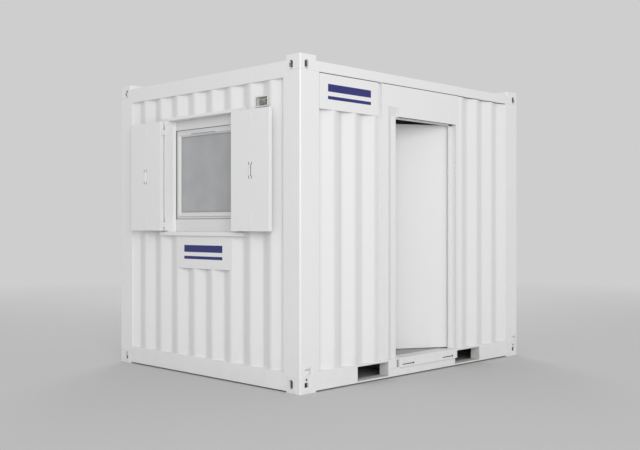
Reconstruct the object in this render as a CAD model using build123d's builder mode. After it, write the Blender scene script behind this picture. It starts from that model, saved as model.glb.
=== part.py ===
from build123d import *
import math
import os

os.makedirs("parts", exist_ok=True)

# A ten-foot steel container cabin, in millimetres.
# X runs along the length, Y along the width, Z is up, and Z = 0 is the underside of the bottom castings.
# The door wall faces -Y and the window end wall faces -X.
# Places along a wall are measured from the corner where these two walls meet.
# Depths are measured inwards from the outer plane of the corner castings.

# Overall size
length = 2991
width = 2438
height = 2591

# Corner castings
casting_length = 178
casting_width = 162
casting_height = 118
casting_face_wall = 28
casting_side_wall = 16
casting_corner_radius = 12
aperture_inset_x = 102
aperture_inset_y = 89.5
aperture_length = 124
aperture_width = 63.5
side_aperture_height = 72
side_aperture_width = 42
bottom_slot_level = 68
top_slot_drop = 78
front_aperture_inset = 68
end_aperture_inset = 102
casting_step = 12

# Frame members
post_chamfer = 8
post_lap = 27
rail_depth = 60
bottom_rail_height = 145
bottom_rail_sheet = 6
side_top_rail_height = 81
end_top_rail_height = 128
top_rail_step = 40

# Forklift pockets
pocket_spacing = 1318
pocket_width = 380
pocket_height = 115
pocket_bottom = 26
pocket_sheet = 4
pocket_depth = 96

# Floor
deck_thickness = 12
covering_thickness = 10
cross_member_height = 90
cross_member_width = 50
cross_member_sheet = 6
middle_cross_members = 3
middle_cross_member_spacing = 330
outer_cross_members = 2

# Walls
crest_depth = 6
corrugation_depth = 30
corrugation_slope = 100
valley_flat = 20
front_pitch = 242
front_first_crest_end = 387
end_pitch = 243.6
end_first_crest_end = 349
shortest_bend = 2
wall_depth = 108
lining_thickness = 12

# Roof and ceiling
roof_panel_thickness = 45
roof_rib_pitch = 208
roof_rib_slope = 50
roof_rib_flat = 55
roof_rib_height = 20
roof_rib_margin = 70
ceiling_thickness = 12

# Doorway
door_opening_start = 1165
door_opening_width = 810
door_head_drop = 389
door_jamb = 40
door_strip_start = 945
door_strip_end = 1025
strip_slope = 70
recess_top_drop = 311
stop_projection = 13
hinge_stop_projection = 52
stop_depth = 46
stop_thickness = 12
leaf_front_depth = 63
leaf_thickness = 45
moving_gap = 5
door_rest_angle = 30
threshold_bottom = 80
threshold_rise = 5
threshold_thickness = 15
sill_thickness = 3

# Door hinges and handles
door_knuckle_diameter = 18
door_pin_diameter = 10
pin_clearance = 0.1
door_knuckle_length = 55
door_knuckle_reach = 12
knuckle_gap = 0.5
door_hinge_plate_width = 32
hinge_plate_thickness = 3
door_hinges = 3
door_hinge_inset = 200
handle_level = 1050
handle_setback = 65
handle_plate_width = 38
handle_plate_height = 220
handle_plate_thickness = 8
handle_neck_diameter = 20
handle_neck_length = 34
handle_lever_length = 125
handle_lever_thickness = 18

# Window
window_centre = 1219
window_opening_width = 934
window_bottom = 1230
window_top_drop = 381
surround_side = 97
surround_above = 25
surround_below = 35
surround_face_depth = 2
ledge_projection = 20
ledge_height = 32
stile_width = 13
stile_projection = 30
infill_above = 84
infill_below = 108
infill_depth = 84
infill_thickness = 20
frame_member = 22
frame_depth = 95
frame_thickness = 55
sash_member = 38
sash_gap = 0.3
sash_proud = 8
sash_thickness = 58
glass_thickness = 24
glass_depth = 106

# Shutters
shutter_margin = 7
shutter_thickness = 32
shutter_knuckle_diameter = 16
shutter_pin_diameter = 8
shutter_knuckle_length = 45
shutter_edge_gap = 9
shutter_meeting_gap = 6
shutter_bracket_thickness = 6
shutter_hinge_inset = 75
latch_height = 110
latch_width = 22
latch_thickness = 10
latch_setback = 245

# Sign plates, inlet and lugs
sign_thickness = 3
front_sign_start = 210
front_sign_end = 905
front_sign_height = 282
end_sign_start = 835
end_sign_end = 1545
end_sign_bottom = 914
inlet_start = 374
inlet_width = 135
inlet_drop = 363
inlet_height = 76
inlet_depth = 60
inlet_wall = 3
socket_diameter = 36
socket_length = 22
lug_start = 41
lug_width = 60
lug_bottom = 134
lug_height = 84
lug_thickness = 5

# Values worked out from the driving dimensions
front_y = -width / 2
back_y = width / 2
window_end_x = -length / 2
blind_end_x = length / 2
rail_bottom = casting_step
rail_top = rail_bottom + bottom_rail_height
frame_top = height - top_rail_step
side_rail_underside = frame_top - side_top_rail_height
end_rail_underside = frame_top - end_top_rail_height
post_bottom = casting_height
post_top = height - casting_height
lining_depth = wall_depth + lining_thickness
floor_top = rail_top + covering_thickness
valley_depth = crest_depth + corrugation_depth
door_head_level = height - door_head_drop
recess_top = height - recess_top_drop
door_opening_end = door_opening_start + door_opening_width
frame_start = door_opening_start - door_jamb
frame_end = door_opening_end + door_jamb
frame_head = door_head_level + door_jamb
window_top = height - window_top_drop
window_start = window_centre - window_opening_width / 2
window_end = window_centre + window_opening_width / 2
surround_start = window_start - surround_side
surround_end = window_end + surround_side
surround_bottom = window_bottom - surround_below
surround_top = window_top + surround_above
shutter_bottom = window_bottom + shutter_margin
shutter_top = window_top - shutter_margin
front_sign_bottom = side_rail_underside - front_sign_height
inlet_bottom = height - inlet_drop
roof_underside = side_rail_underside
ceiling_underside = roof_underside - ceiling_thickness
deck_underside = rail_top - deck_thickness


def front(place, depth):
    """A point of the plan, from a place along the door wall and a depth behind its outer plane."""
    return (window_end_x + place, front_y + depth)


def back(place, depth):
    """The same for the back wall."""
    return (window_end_x + place, back_y - depth)


def window_side(place, depth):
    """The same for the window end wall."""
    return (window_end_x + depth, front_y + place)


def blind_side(place, depth):
    """The same for the blind end wall."""
    return (blind_end_x - depth, front_y + place)


def sheet_depth(place, first_crest_end, pitch):
    """The depth of the outer face of the corrugated sheet at a place."""
    along = (place - first_crest_end) % pitch
    left_to_valley_end = 2 * corrugation_slope + valley_flat - along
    share = min(1, along / corrugation_slope, max(0, left_to_valley_end / corrugation_slope))
    return crest_depth + corrugation_depth * share


def corrugated_outline(side, start, end, first_crest_end, pitch):
    """The plan of a wall panel: trapezoidal valleys outside, cut off at its ends, and a flat inner face."""
    points = [side(start, sheet_depth(start, first_crest_end, pitch))]
    crest_end = first_crest_end - math.ceil((first_crest_end - start) / pitch) * pitch
    while crest_end < end:
        for shift, depth in (
            (0, crest_depth),
            (corrugation_slope, valley_depth),
            (corrugation_slope + valley_flat, valley_depth),
            (2 * corrugation_slope + valley_flat, crest_depth),
        ):
            if start + shortest_bend < crest_end + shift < end - shortest_bend:
                points.append(side(crest_end + shift, depth))
        crest_end += pitch
    points.append(side(end, sheet_depth(end, first_crest_end, pitch)))
    points.append(side(end, wall_depth))
    points.append(side(start, wall_depth))
    return points


def slab_outline(side, start, end, near_depth, far_depth):
    """The plan of a plain slab that lies along a wall."""
    return [
        side(start, near_depth),
        side(end, near_depth),
        side(end, far_depth),
        side(start, far_depth),
    ]


def upright(outline, bottom, top):
    """A solid with an upright outline between two levels."""
    with BuildPart() as solid:
        with BuildSketch(Plane.XY.offset(bottom)):
            with BuildLine():
                Polyline(*outline, close=True)
            make_face()
        extrude(amount=top - bottom)
    return solid.part


def save(part, name):
    """Label a finished piece and write its file."""
    part.label = name
    export_step(part, "parts/" + name + ".step")


# Corner castings: hollow boxes with a slot above or below, one in the side and one in the end
def corner_castings(bottom, face_direction, slot_level):
    middle = bottom + casting_height / 2
    centre_spacing_x = length - casting_length
    centre_spacing_y = width - casting_width
    aperture_spacing_x = length - 2 * aperture_inset_x
    aperture_spacing_y = width - 2 * aperture_inset_y
    side_slot_spacing = length - 2 * front_aperture_inset
    end_slot_spacing = width - 2 * end_aperture_inset
    with BuildPart() as castings:
        with BuildSketch(Plane.XY.offset(bottom)):
            with GridLocations(centre_spacing_x, centre_spacing_y, 2, 2):
                RectangleRounded(casting_length, casting_width, casting_corner_radius)
        extrude(amount=casting_height)
        with BuildSketch(Plane.XY.offset(bottom + casting_face_wall)):
            with GridLocations(centre_spacing_x, centre_spacing_y, 2, 2):
                Rectangle(casting_length - 2 * casting_side_wall, casting_width - 2 * casting_side_wall)
        extrude(amount=casting_height - 2 * casting_face_wall, mode=Mode.SUBTRACT)
        with BuildSketch(Plane.XY.offset(middle)):
            with GridLocations(aperture_spacing_x, aperture_spacing_y, 2, 2):
                SlotOverall(aperture_length, aperture_width)
        extrude(amount=face_direction * casting_height, mode=Mode.SUBTRACT)
        for outer_y, inward in ((front_y, -1), (back_y, 1)):
            with BuildSketch(Plane.XZ.offset(-outer_y)):
                with Locations((0, slot_level)):
                    with GridLocations(side_slot_spacing, 0, 2, 1):
                        SlotOverall(side_aperture_height, side_aperture_width, rotation=90)
            extrude(amount=inward * casting_width / 2, mode=Mode.SUBTRACT)
        for outer_x, inward in ((window_end_x, 1), (blind_end_x, -1)):
            with BuildSketch(Plane.YZ.offset(outer_x)):
                with Locations((0, slot_level)):
                    with GridLocations(end_slot_spacing, 0, 2, 1):
                        SlotOverall(side_aperture_height, side_aperture_width, rotation=90)
            extrude(amount=inward * casting_length / 2, mode=Mode.SUBTRACT)
    return castings.part


save(corner_castings(0, -1, bottom_slot_level), "bottom_corner_castings")
save(corner_castings(height - casting_height, 1, height - top_slot_drop), "top_corner_castings")

# Corner posts: folded angles with a chamfered outer edge, and laps that the walls are welded to
def post_corners(outline, side_x, side_y):
    return [(side_x * (length / 2 - inset), side_y * (width / 2 - depth)) for inset, depth in outline]


angle_outline = [
    (post_chamfer, 0),
    (casting_length, 0),
    (casting_length, rail_depth),
    (rail_depth, rail_depth),
    (rail_depth, casting_width),
    (0, casting_width),
    (0, post_chamfer),
]
side_lap_outline = [
    (casting_length, 0),
    (casting_length + post_lap, 0),
    (casting_length + post_lap, rail_depth),
    (casting_length, rail_depth),
]
end_lap_outline = [
    (0, casting_width),
    (rail_depth, casting_width),
    (rail_depth, casting_width + post_lap),
    (0, casting_width + post_lap),
]
with BuildPart() as corner_posts:
    for outline, bottom, top in (
        (angle_outline, post_bottom, post_top),
        (side_lap_outline, rail_top, side_rail_underside),
        (end_lap_outline, rail_top, end_rail_underside),
    ):
        with BuildSketch(Plane.XY.offset(bottom)):
            for side_x in (-1, 1):
                for side_y in (-1, 1):
                    with BuildLine():
                        Polyline(*post_corners(outline, side_x, side_y), close=True)
                    make_face()
        extrude(amount=top - bottom)
save(corner_posts.part, "corner_posts")

# Bottom side rails: channels that open towards the floor, with the mouths of the forklift pockets cut through
side_rail_length = length - 2 * casting_length
end_rail_length = width - 2 * casting_width
pocket_middle = pocket_bottom + pocket_height / 2
with BuildPart() as bottom_side_rails:
    with BuildSketch(Plane.XY.offset(rail_bottom)):
        with GridLocations(0, width - rail_depth, 1, 2):
            Rectangle(side_rail_length, rail_depth)
    extrude(amount=bottom_rail_height)
    with BuildSketch(Plane.XY.offset(rail_bottom + bottom_rail_sheet)):
        with GridLocations(0, width - rail_depth - 2 * bottom_rail_sheet, 1, 2):
            Rectangle(side_rail_length, rail_depth)
    extrude(amount=bottom_rail_height - 2 * bottom_rail_sheet, mode=Mode.SUBTRACT)
    with BuildSketch(Plane.XZ.offset(-width / 2)):
        with Locations((0, pocket_middle)):
            with GridLocations(pocket_spacing, 0, 2, 1):
                Rectangle(pocket_width + 2 * pocket_sheet, pocket_height + 2 * pocket_sheet)
    extrude(amount=width, mode=Mode.SUBTRACT)
save(bottom_side_rails.part, "bottom_side_rails")

# Bottom end rails: the same channel across both ends
with BuildPart() as bottom_end_rails:
    with BuildSketch(Plane.XY.offset(rail_bottom)):
        with GridLocations(length - rail_depth, 0, 2, 1):
            Rectangle(rail_depth, end_rail_length)
    extrude(amount=bottom_rail_height)
    with BuildSketch(Plane.XY.offset(rail_bottom + bottom_rail_sheet)):
        with GridLocations(length - rail_depth - 2 * bottom_rail_sheet, 0, 2, 1):
            Rectangle(rail_depth, end_rail_length)
    extrude(amount=bottom_rail_height - 2 * bottom_rail_sheet, mode=Mode.SUBTRACT)
save(bottom_end_rails.part, "bottom_end_rails")

# Top rails between the top castings
with BuildPart() as top_side_rails:
    with BuildSketch(Plane.XY.offset(side_rail_underside)):
        with GridLocations(0, width - rail_depth, 1, 2):
            Rectangle(side_rail_length, rail_depth)
    extrude(amount=side_top_rail_height)
save(top_side_rails.part, "top_side_rails")

with BuildPart() as top_end_rails:
    with BuildSketch(Plane.XY.offset(end_rail_underside)):
        with GridLocations(length - rail_depth, 0, 2, 1):
            Rectangle(rail_depth, end_rail_length)
    extrude(amount=end_top_rail_height)
save(top_end_rails.part, "top_end_rails")

# Forklift pockets: four short tubes, flush with the outer faces of the side rails
with BuildPart() as forklift_pockets:
    for outer_y, inward in ((front_y, -1), (back_y, 1)):
        with BuildSketch(Plane.XZ.offset(-outer_y)):
            with Locations((0, pocket_middle)):
                with GridLocations(pocket_spacing, 0, 2, 1):
                    Rectangle(pocket_width + 2 * pocket_sheet, pocket_height + 2 * pocket_sheet)
                    Rectangle(pocket_width, pocket_height, mode=Mode.SUBTRACT)
        extrude(amount=inward * pocket_depth)
save(forklift_pockets.part, "forklift_pockets")

# Floor cross members: channels between the side rails, clear of the pockets
outer_bay_start = pocket_spacing / 2 + pocket_width / 2 + pocket_sheet
outer_bay_end = length / 2 - rail_depth
outer_step = (outer_bay_end - outer_bay_start) / (outer_cross_members + 1)
member_places = [
    (number - (middle_cross_members - 1) / 2) * middle_cross_member_spacing
    for number in range(middle_cross_members)
]
for number in range(outer_cross_members):
    member_places.append(outer_bay_start + (number + 1) * outer_step)
    member_places.append(-outer_bay_start - (number + 1) * outer_step)
member_middle = deck_underside - cross_member_height / 2
with BuildPart() as floor_cross_members:
    with BuildSketch(Plane.XZ.offset(-width / 2 + rail_depth)):
        with Locations(*[(place, member_middle) for place in member_places]):
            Rectangle(cross_member_width, cross_member_height)
        with Locations(*[(place + cross_member_sheet, member_middle) for place in member_places]):
            Rectangle(
                cross_member_width,
                cross_member_height - 2 * cross_member_sheet,
                mode=Mode.SUBTRACT,
            )
    extrude(amount=width - 2 * rail_depth)
save(floor_cross_members.part, "floor_cross_members")

# Floor deck between the rails, and the floor covering between the wall linings
with BuildPart() as floor_deck:
    with BuildSketch(Plane.XY.offset(deck_underside)):
        Rectangle(length - 2 * rail_depth, width - 2 * rail_depth)
    extrude(amount=deck_thickness)
save(floor_deck.part, "floor_deck")

with BuildPart() as floor_covering:
    with BuildSketch(Plane.XY.offset(rail_top)):
        Rectangle(length - 2 * lining_depth, width - 2 * lining_depth)
    extrude(amount=covering_thickness)
save(floor_covering.part, "floor_covering")

# Roof: a ribbed panel between the top rails, with a flat ceiling under it
roof_length = length - 2 * rail_depth
rib_run = 2 * roof_rib_slope + roof_rib_flat
roof_outline = [(-roof_length / 2, roof_underside), (-roof_length / 2, roof_underside + roof_panel_thickness)]
rib_start = -roof_length / 2 + roof_rib_margin
while rib_start + rib_run + roof_rib_margin <= roof_length / 2:
    roof_outline.append((rib_start, roof_underside + roof_panel_thickness))
    roof_outline.append((rib_start + roof_rib_slope, roof_underside + roof_panel_thickness + roof_rib_height))
    roof_outline.append(
        (
            rib_start + roof_rib_slope + roof_rib_flat,
            roof_underside + roof_panel_thickness + roof_rib_height,
        )
    )
    roof_outline.append((rib_start + rib_run, roof_underside + roof_panel_thickness))
    rib_start += roof_rib_pitch
roof_outline.append((roof_length / 2, roof_underside + roof_panel_thickness))
roof_outline.append((roof_length / 2, roof_underside))
with BuildPart() as roof_panel:
    with BuildSketch(Plane.XZ.offset(-width / 2 + rail_depth)):
        with BuildLine():
            Polyline(*roof_outline, close=True)
        make_face()
    extrude(amount=width - 2 * rail_depth)
    with BuildSketch(Plane.XY.offset(roof_underside)):
        with GridLocations(length - casting_length, width - casting_width, 2, 2):
            Rectangle(casting_length, casting_width)
    extrude(amount=height - roof_underside, mode=Mode.SUBTRACT)
save(roof_panel.part, "roof_panel")

with BuildPart() as ceiling:
    with BuildSketch(Plane.XY.offset(ceiling_underside)):
        Rectangle(length - 2 * lining_depth, width - 2 * lining_depth)
    extrude(amount=ceiling_thickness)
save(ceiling.part, "ceiling")

# Front wall beside and over the door
side_wall_start = casting_length + post_lap
side_wall_end = length - casting_length - post_lap
end_wall_start = casting_width + post_lap
end_wall_end = width - casting_width - post_lap
flat_strip_outline = [
    front(door_strip_start, 0),
    front(door_strip_end, 0),
    front(door_strip_end, wall_depth),
    front(door_strip_start, wall_depth),
]
slope_outline = [
    front(door_strip_end, 0),
    front(door_strip_end + strip_slope, valley_depth),
    front(frame_start, valley_depth),
    front(frame_start, wall_depth),
    front(door_strip_end, wall_depth),
]
left_panel_outline = corrugated_outline(
    front, side_wall_start, door_strip_start, front_first_crest_end, front_pitch
)
with BuildPart() as front_wall_left:
    for outline, top in (
        (left_panel_outline, side_rail_underside),
        (flat_strip_outline, side_rail_underside),
        (slope_outline, recess_top),
    ):
        with BuildSketch(Plane.XY.offset(rail_top)):
            with BuildLine():
                Polyline(*outline, close=True)
            make_face()
        extrude(amount=top - rail_top)
save(front_wall_left.part, "front_wall_left")

right_panel_outline = corrugated_outline(
    front, frame_end, side_wall_end, front_first_crest_end, front_pitch
)
save(upright(right_panel_outline, rail_top, side_rail_underside), "front_wall_right")

with BuildPart() as front_wall_over_door:
    with BuildSketch(Plane.XZ.offset(-front_y)):
        with BuildLine():
            Polyline(
                (window_end_x + door_strip_end, recess_top),
                (window_end_x + door_opening_start, recess_top),
                (window_end_x + door_opening_start, frame_head),
                (window_end_x + frame_end, frame_head),
                (window_end_x + frame_end, side_rail_underside),
                (window_end_x + door_strip_end, side_rail_underside),
                close=True,
            )
        make_face()
    extrude(amount=-wall_depth)
save(front_wall_over_door.part, "front_wall_over_door")

# Back wall and blind end wall: plain corrugated panels
back_outline = corrugated_outline(
    back, side_wall_start, side_wall_end, front_first_crest_end, front_pitch
)
save(upright(back_outline, rail_top, side_rail_underside), "back_wall")

blind_outline = corrugated_outline(
    blind_side, end_wall_start, end_wall_end, end_first_crest_end, end_pitch
)
save(upright(blind_outline, rail_top, end_rail_underside), "blind_end_wall")

# Window end wall: a corrugated panel with holes for the window surround and the electrical inlet
window_outline = corrugated_outline(
    window_side, end_wall_start, end_wall_end, end_first_crest_end, end_pitch
)
with BuildPart() as window_end_wall:
    with BuildSketch(Plane.XY.offset(rail_top)):
        with BuildLine():
            Polyline(*window_outline, close=True)
        make_face()
    extrude(amount=end_rail_underside - rail_top)
    with BuildSketch(Plane.YZ.offset(window_end_x)):
        with Locations((front_y + window_centre, (surround_bottom + surround_top) / 2)):
            Rectangle(surround_end - surround_start, surround_top - surround_bottom)
    extrude(amount=wall_depth, mode=Mode.SUBTRACT)
    with BuildSketch(Plane.YZ.offset(window_end_x)):
        with Locations((front_y + inlet_start + inlet_width / 2, inlet_bottom + inlet_height / 2)):
            Rectangle(inlet_width, inlet_height)
    extrude(amount=crest_depth + inlet_depth, mode=Mode.SUBTRACT)
save(window_end_wall.part, "window_end_wall")

# Inner linings
front_lining_left_outline = slab_outline(front, lining_depth, frame_start, wall_depth, lining_depth)
save(upright(front_lining_left_outline, rail_top, roof_underside), "front_lining_left")
front_lining_right_outline = slab_outline(
    front, frame_end, length - lining_depth, wall_depth, lining_depth
)
save(upright(front_lining_right_outline, rail_top, roof_underside), "front_lining_right")
over_door_lining_outline = slab_outline(front, frame_start, frame_end, wall_depth, lining_depth)
save(upright(over_door_lining_outline, frame_head, roof_underside), "front_lining_over_door")
back_lining_outline = slab_outline(back, lining_depth, length - lining_depth, wall_depth, lining_depth)
save(upright(back_lining_outline, rail_top, roof_underside), "back_lining")
blind_lining_outline = slab_outline(
    blind_side, wall_depth, width - wall_depth, wall_depth, lining_depth
)
save(upright(blind_lining_outline, rail_top, roof_underside), "blind_end_lining")

with BuildPart() as window_end_lining:
    with BuildSketch(Plane.YZ.offset(window_end_x + wall_depth)):
        with Locations((0, (rail_top + roof_underside) / 2)):
            Rectangle(width - 2 * wall_depth, roof_underside - rail_top)
        with Locations((front_y + window_centre, (window_bottom + window_top) / 2)):
            Rectangle(window_opening_width, window_top - window_bottom, mode=Mode.SUBTRACT)
    extrude(amount=lining_thickness)
save(window_end_lining.part, "window_end_lining")

# Door frame: two jambs and a head, with a stop strip that the leaf closes against
left_jamb_outline = slab_outline(front, frame_start, door_opening_start, valley_depth, wall_depth)
right_jamb_outline = slab_outline(front, door_opening_end, frame_end, 0, wall_depth)
head_outline = slab_outline(front, door_opening_start, frame_end, 0, wall_depth)
with BuildPart() as door_frame:
    for outline, bottom, top in (
        (left_jamb_outline, rail_top, recess_top),
        (right_jamb_outline, rail_top, door_head_level),
        (head_outline, door_head_level, frame_head),
    ):
        with BuildSketch(Plane.XY.offset(bottom)):
            with BuildLine():
                Polyline(*outline, close=True)
            make_face()
        extrude(amount=top - bottom)
    with BuildSketch(Plane.XY.offset(rail_top + threshold_rise)):
        with BuildLine():
            Polyline(
                *slab_outline(
                    front,
                    door_opening_start,
                    door_opening_start + stop_projection,
                    stop_depth,
                    stop_depth + stop_thickness,
                ),
                close=True,
            )
        make_face()
        with BuildLine():
            Polyline(
                *slab_outline(
                    front,
                    door_opening_end - hinge_stop_projection,
                    door_opening_end,
                    stop_depth,
                    stop_depth + stop_thickness,
                ),
                close=True,
            )
        make_face()
    extrude(amount=door_head_level - rail_top - threshold_rise)
    with BuildSketch(Plane.XY.offset(door_head_level - stop_projection)):
        with BuildLine():
            Polyline(
                *slab_outline(
                    front, door_opening_start, door_opening_end, stop_depth, stop_depth + stop_thickness
                ),
                close=True,
            )
        make_face()
    extrude(amount=stop_projection)
save(door_frame.part, "door_frame")

# Door threshold: a sill between the jambs and an apron in front of the bottom rail
with BuildPart() as door_threshold:
    with BuildSketch(Plane.YZ.offset(window_end_x + door_opening_start)):
        with BuildLine():
            Polyline(
                (front_y - threshold_thickness, threshold_bottom),
                (front_y, threshold_bottom),
                (front_y, rail_top),
                (front_y + lining_depth, rail_top),
                (front_y + lining_depth, rail_top + threshold_rise),
                (front_y - threshold_thickness, rail_top + threshold_rise),
                close=True,
            )
        make_face()
    extrude(amount=door_opening_width)
save(door_threshold.part, "door_threshold")

# Door leaf, ajar, on a plane whose origin is the hinge axis and whose X runs to the free edge
door_axis_x = window_end_x + door_opening_end - moving_gap / 2
door_axis_y = front_y + leaf_front_depth + leaf_thickness + door_knuckle_reach
door_direction = math.radians(180 - door_rest_angle)
door_plane = Plane(
    origin=(door_axis_x, door_axis_y, 0),
    x_dir=(math.cos(door_direction), math.sin(door_direction), 0),
    z_dir=(0, 0, 1),
)
leaf_width = door_opening_width - 2 * moving_gap
leaf_bottom = floor_top + moving_gap
leaf_top = door_head_level - moving_gap
with BuildPart() as door_leaf:
    with BuildSketch(door_plane.offset(leaf_bottom)):
        with Locations((moving_gap / 2, door_knuckle_reach)):
            Rectangle(leaf_width, leaf_thickness, align=(Align.MIN, Align.MIN))
    extrude(amount=leaf_top - leaf_bottom)
save(door_leaf.part, "door_leaf")

# Door hinges: the lower knuckle and pin stand on the frame, the upper knuckle is on the leaf
frame_plane = Plane(origin=(door_axis_x, door_axis_y, 0), x_dir=(1, 0, 0), z_dir=(0, 0, 1))
hinge_height = 2 * door_knuckle_length + knuckle_gap
lowest_hinge = leaf_bottom + door_hinge_inset
highest_hinge = leaf_top - door_hinge_inset - hinge_height
hinge_step = (highest_hinge - lowest_hinge) / (door_hinges - 1)
door_hinge_levels = [lowest_hinge + number * hinge_step for number in range(door_hinges)]
with BuildPart() as door_hinge_pins:
    for level in door_hinge_levels:
        with BuildSketch(frame_plane.offset(level)):
            Circle(door_knuckle_diameter / 2)
            with Locations((moving_gap / 2, -door_knuckle_reach)):
                Rectangle(door_knuckle_reach, door_knuckle_reach, align=(Align.MIN, Align.MIN))
                Rectangle(door_hinge_plate_width, hinge_plate_thickness, align=(Align.MIN, Align.MIN))
        extrude(amount=door_knuckle_length)
        with BuildSketch(frame_plane.offset(level)):
            Circle(door_pin_diameter / 2)
        extrude(amount=hinge_height)
save(door_hinge_pins.part, "door_hinge_pins")

with BuildPart() as door_hinge_leaves:
    for level in door_hinge_levels:
        with BuildSketch(door_plane.offset(level + door_knuckle_length + knuckle_gap)):
            Circle(door_knuckle_diameter / 2)
            with Locations((moving_gap / 2, 0)):
                Rectangle(door_knuckle_reach, door_knuckle_reach, align=(Align.MIN, Align.MIN))
            with Locations((moving_gap / 2, door_knuckle_reach - hinge_plate_thickness)):
                Rectangle(door_hinge_plate_width, hinge_plate_thickness, align=(Align.MIN, Align.MIN))
            Circle(door_pin_diameter / 2 + pin_clearance, mode=Mode.SUBTRACT)
        extrude(amount=door_knuckle_length)
save(door_hinge_leaves.part, "door_hinge_leaves")

# Door handles: a plate, a neck and a lever on each face of the leaf
handle_place = moving_gap / 2 + leaf_width - handle_setback
inner_face = door_knuckle_reach
outer_face = door_knuckle_reach + leaf_thickness
with BuildPart() as door_handles:
    for face, outward in ((outer_face, 1), (inner_face, -1)):
        plate_middle = face + outward * handle_plate_thickness / 2
        neck_end = face + outward * (handle_plate_thickness + handle_neck_length)
        lever_middle = neck_end + outward * handle_lever_thickness / 2
        neck_middle = (face + neck_end) / 2 + outward * handle_plate_thickness / 2
        with BuildSketch(door_plane.offset(handle_level - handle_plate_height * 2 / 3)):
            with Locations((handle_place, plate_middle)):
                Rectangle(handle_plate_width, handle_plate_thickness)
        extrude(amount=handle_plate_height)
        with BuildSketch(door_plane.offset(handle_level - handle_neck_diameter / 2)):
            with Locations((handle_place, neck_middle)):
                Rectangle(handle_neck_diameter, handle_neck_length)
            with Locations((handle_place + handle_neck_diameter / 2, lever_middle)):
                Rectangle(handle_lever_length, handle_lever_thickness, align=(Align.MAX, Align.CENTER))
        extrude(amount=handle_neck_diameter)
save(door_handles.part, "door_handles")

# Window surround: a framed reveal with a ledge below and a hinge stile on each side
with BuildPart() as window_surround:
    with BuildSketch(Plane.YZ.offset(window_end_x + surround_face_depth)):
        with Locations((front_y + window_centre, (surround_bottom + surround_top) / 2)):
            Rectangle(surround_end - surround_start, surround_top - surround_bottom)
        with Locations((front_y + window_centre, (window_bottom + window_top) / 2)):
            Rectangle(window_opening_width, window_top - window_bottom, mode=Mode.SUBTRACT)
    extrude(amount=wall_depth - surround_face_depth)
    with BuildSketch(Plane.YZ.offset(window_end_x + surround_face_depth)):
        with Locations((front_y + window_centre, surround_bottom + ledge_height / 2)):
            Rectangle(surround_end - surround_start, ledge_height)
    extrude(amount=-ledge_projection - surround_face_depth)
    with BuildSketch(Plane.YZ.offset(window_end_x + surround_face_depth)):
        with Locations((front_y + window_centre, (shutter_bottom + shutter_top) / 2)):
            with GridLocations(window_opening_width + stile_width, 0, 2, 1):
                Rectangle(stile_width, shutter_top - shutter_bottom)
    extrude(amount=-stile_projection - surround_face_depth)
save(window_surround.part, "window_surround")

# Window: flat infill strips above and below, a frame, a sash and the glass
with BuildPart() as window_infill_strips:
    with BuildSketch(Plane.YZ.offset(window_end_x + infill_depth)):
        with Locations((front_y + window_centre, window_top - infill_above / 2)):
            Rectangle(window_opening_width, infill_above)
        with Locations((front_y + window_centre, window_bottom + infill_below / 2)):
            Rectangle(window_opening_width, infill_below)
    extrude(amount=infill_thickness)
save(window_infill_strips.part, "window_infill_strips")

frame_low = window_bottom + infill_below
frame_high = window_top - infill_above
frame_height = frame_high - frame_low
frame_middle = (frame_low + frame_high) / 2
sash_width = window_opening_width - 2 * frame_member - 2 * sash_gap
sash_height = frame_height - 2 * frame_member - 2 * sash_gap
glass_width = sash_width - 2 * sash_member
glass_height = sash_height - 2 * sash_member
with BuildPart() as window_frame:
    with BuildSketch(Plane.YZ.offset(window_end_x + frame_depth)):
        with Locations((front_y + window_centre, frame_middle)):
            Rectangle(window_opening_width, frame_height)
            Rectangle(
                window_opening_width - 2 * frame_member,
                frame_height - 2 * frame_member,
                mode=Mode.SUBTRACT,
            )
    extrude(amount=frame_thickness)
save(window_frame.part, "window_frame")

with BuildPart() as window_sash:
    with BuildSketch(Plane.YZ.offset(window_end_x + frame_depth - sash_proud)):
        with Locations((front_y + window_centre, frame_middle)):
            Rectangle(sash_width, sash_height)
            Rectangle(glass_width, glass_height, mode=Mode.SUBTRACT)
    extrude(amount=sash_thickness)
save(window_sash.part, "window_sash")

with BuildPart() as window_glass:
    with BuildSketch(Plane.YZ.offset(window_end_x + glass_depth)):
        with Locations((front_y + window_centre, frame_middle)):
            Rectangle(glass_width, glass_height)
    extrude(amount=glass_thickness)
save(window_glass.part, "window_glass")

# Shutters: two leaves folded back beside the window, each on two pin hinges
shutter_axis_offset = window_opening_width / 2 + stile_width / 2
shutter_axis_depth = -stile_projection - moving_gap - shutter_thickness / 2
shutter_width = shutter_axis_offset - shutter_edge_gap - shutter_meeting_gap / 2
hinge_levels = [
    shutter_bottom + shutter_hinge_inset - shutter_knuckle_length,
    shutter_top - shutter_hinge_inset - shutter_knuckle_length,
]


def shutter_plane(side):
    """The plane of a folded shutter: its origin is the hinge axis and its X runs to the free edge."""
    axis_x, axis_y = window_side(window_centre + side * shutter_axis_offset, shutter_axis_depth)
    return Plane(
        origin=(axis_x, axis_y, 0),
        x_dir=(0, side, 0),
        z_dir=(0, 0, 1),
    )


def shutter_leaf(side):
    """A flat leaf with a latch in the middle of the face that shows when it is folded back."""
    plane = shutter_plane(side)
    latch_middle = (shutter_bottom + shutter_top) / 2
    with BuildPart() as leaf:
        with BuildSketch(plane.offset(shutter_bottom)):
            with Locations((shutter_edge_gap, 0)):
                Rectangle(shutter_width, shutter_thickness, align=(Align.MIN, Align.CENTER))
        extrude(amount=shutter_top - shutter_bottom)
        with BuildSketch(plane.offset(latch_middle - latch_height / 2)):
            with Locations((latch_setback, side * (shutter_thickness + latch_thickness) / 2)):
                Rectangle(latch_width, latch_thickness)
        extrude(amount=latch_height)
    return leaf.part


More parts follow.
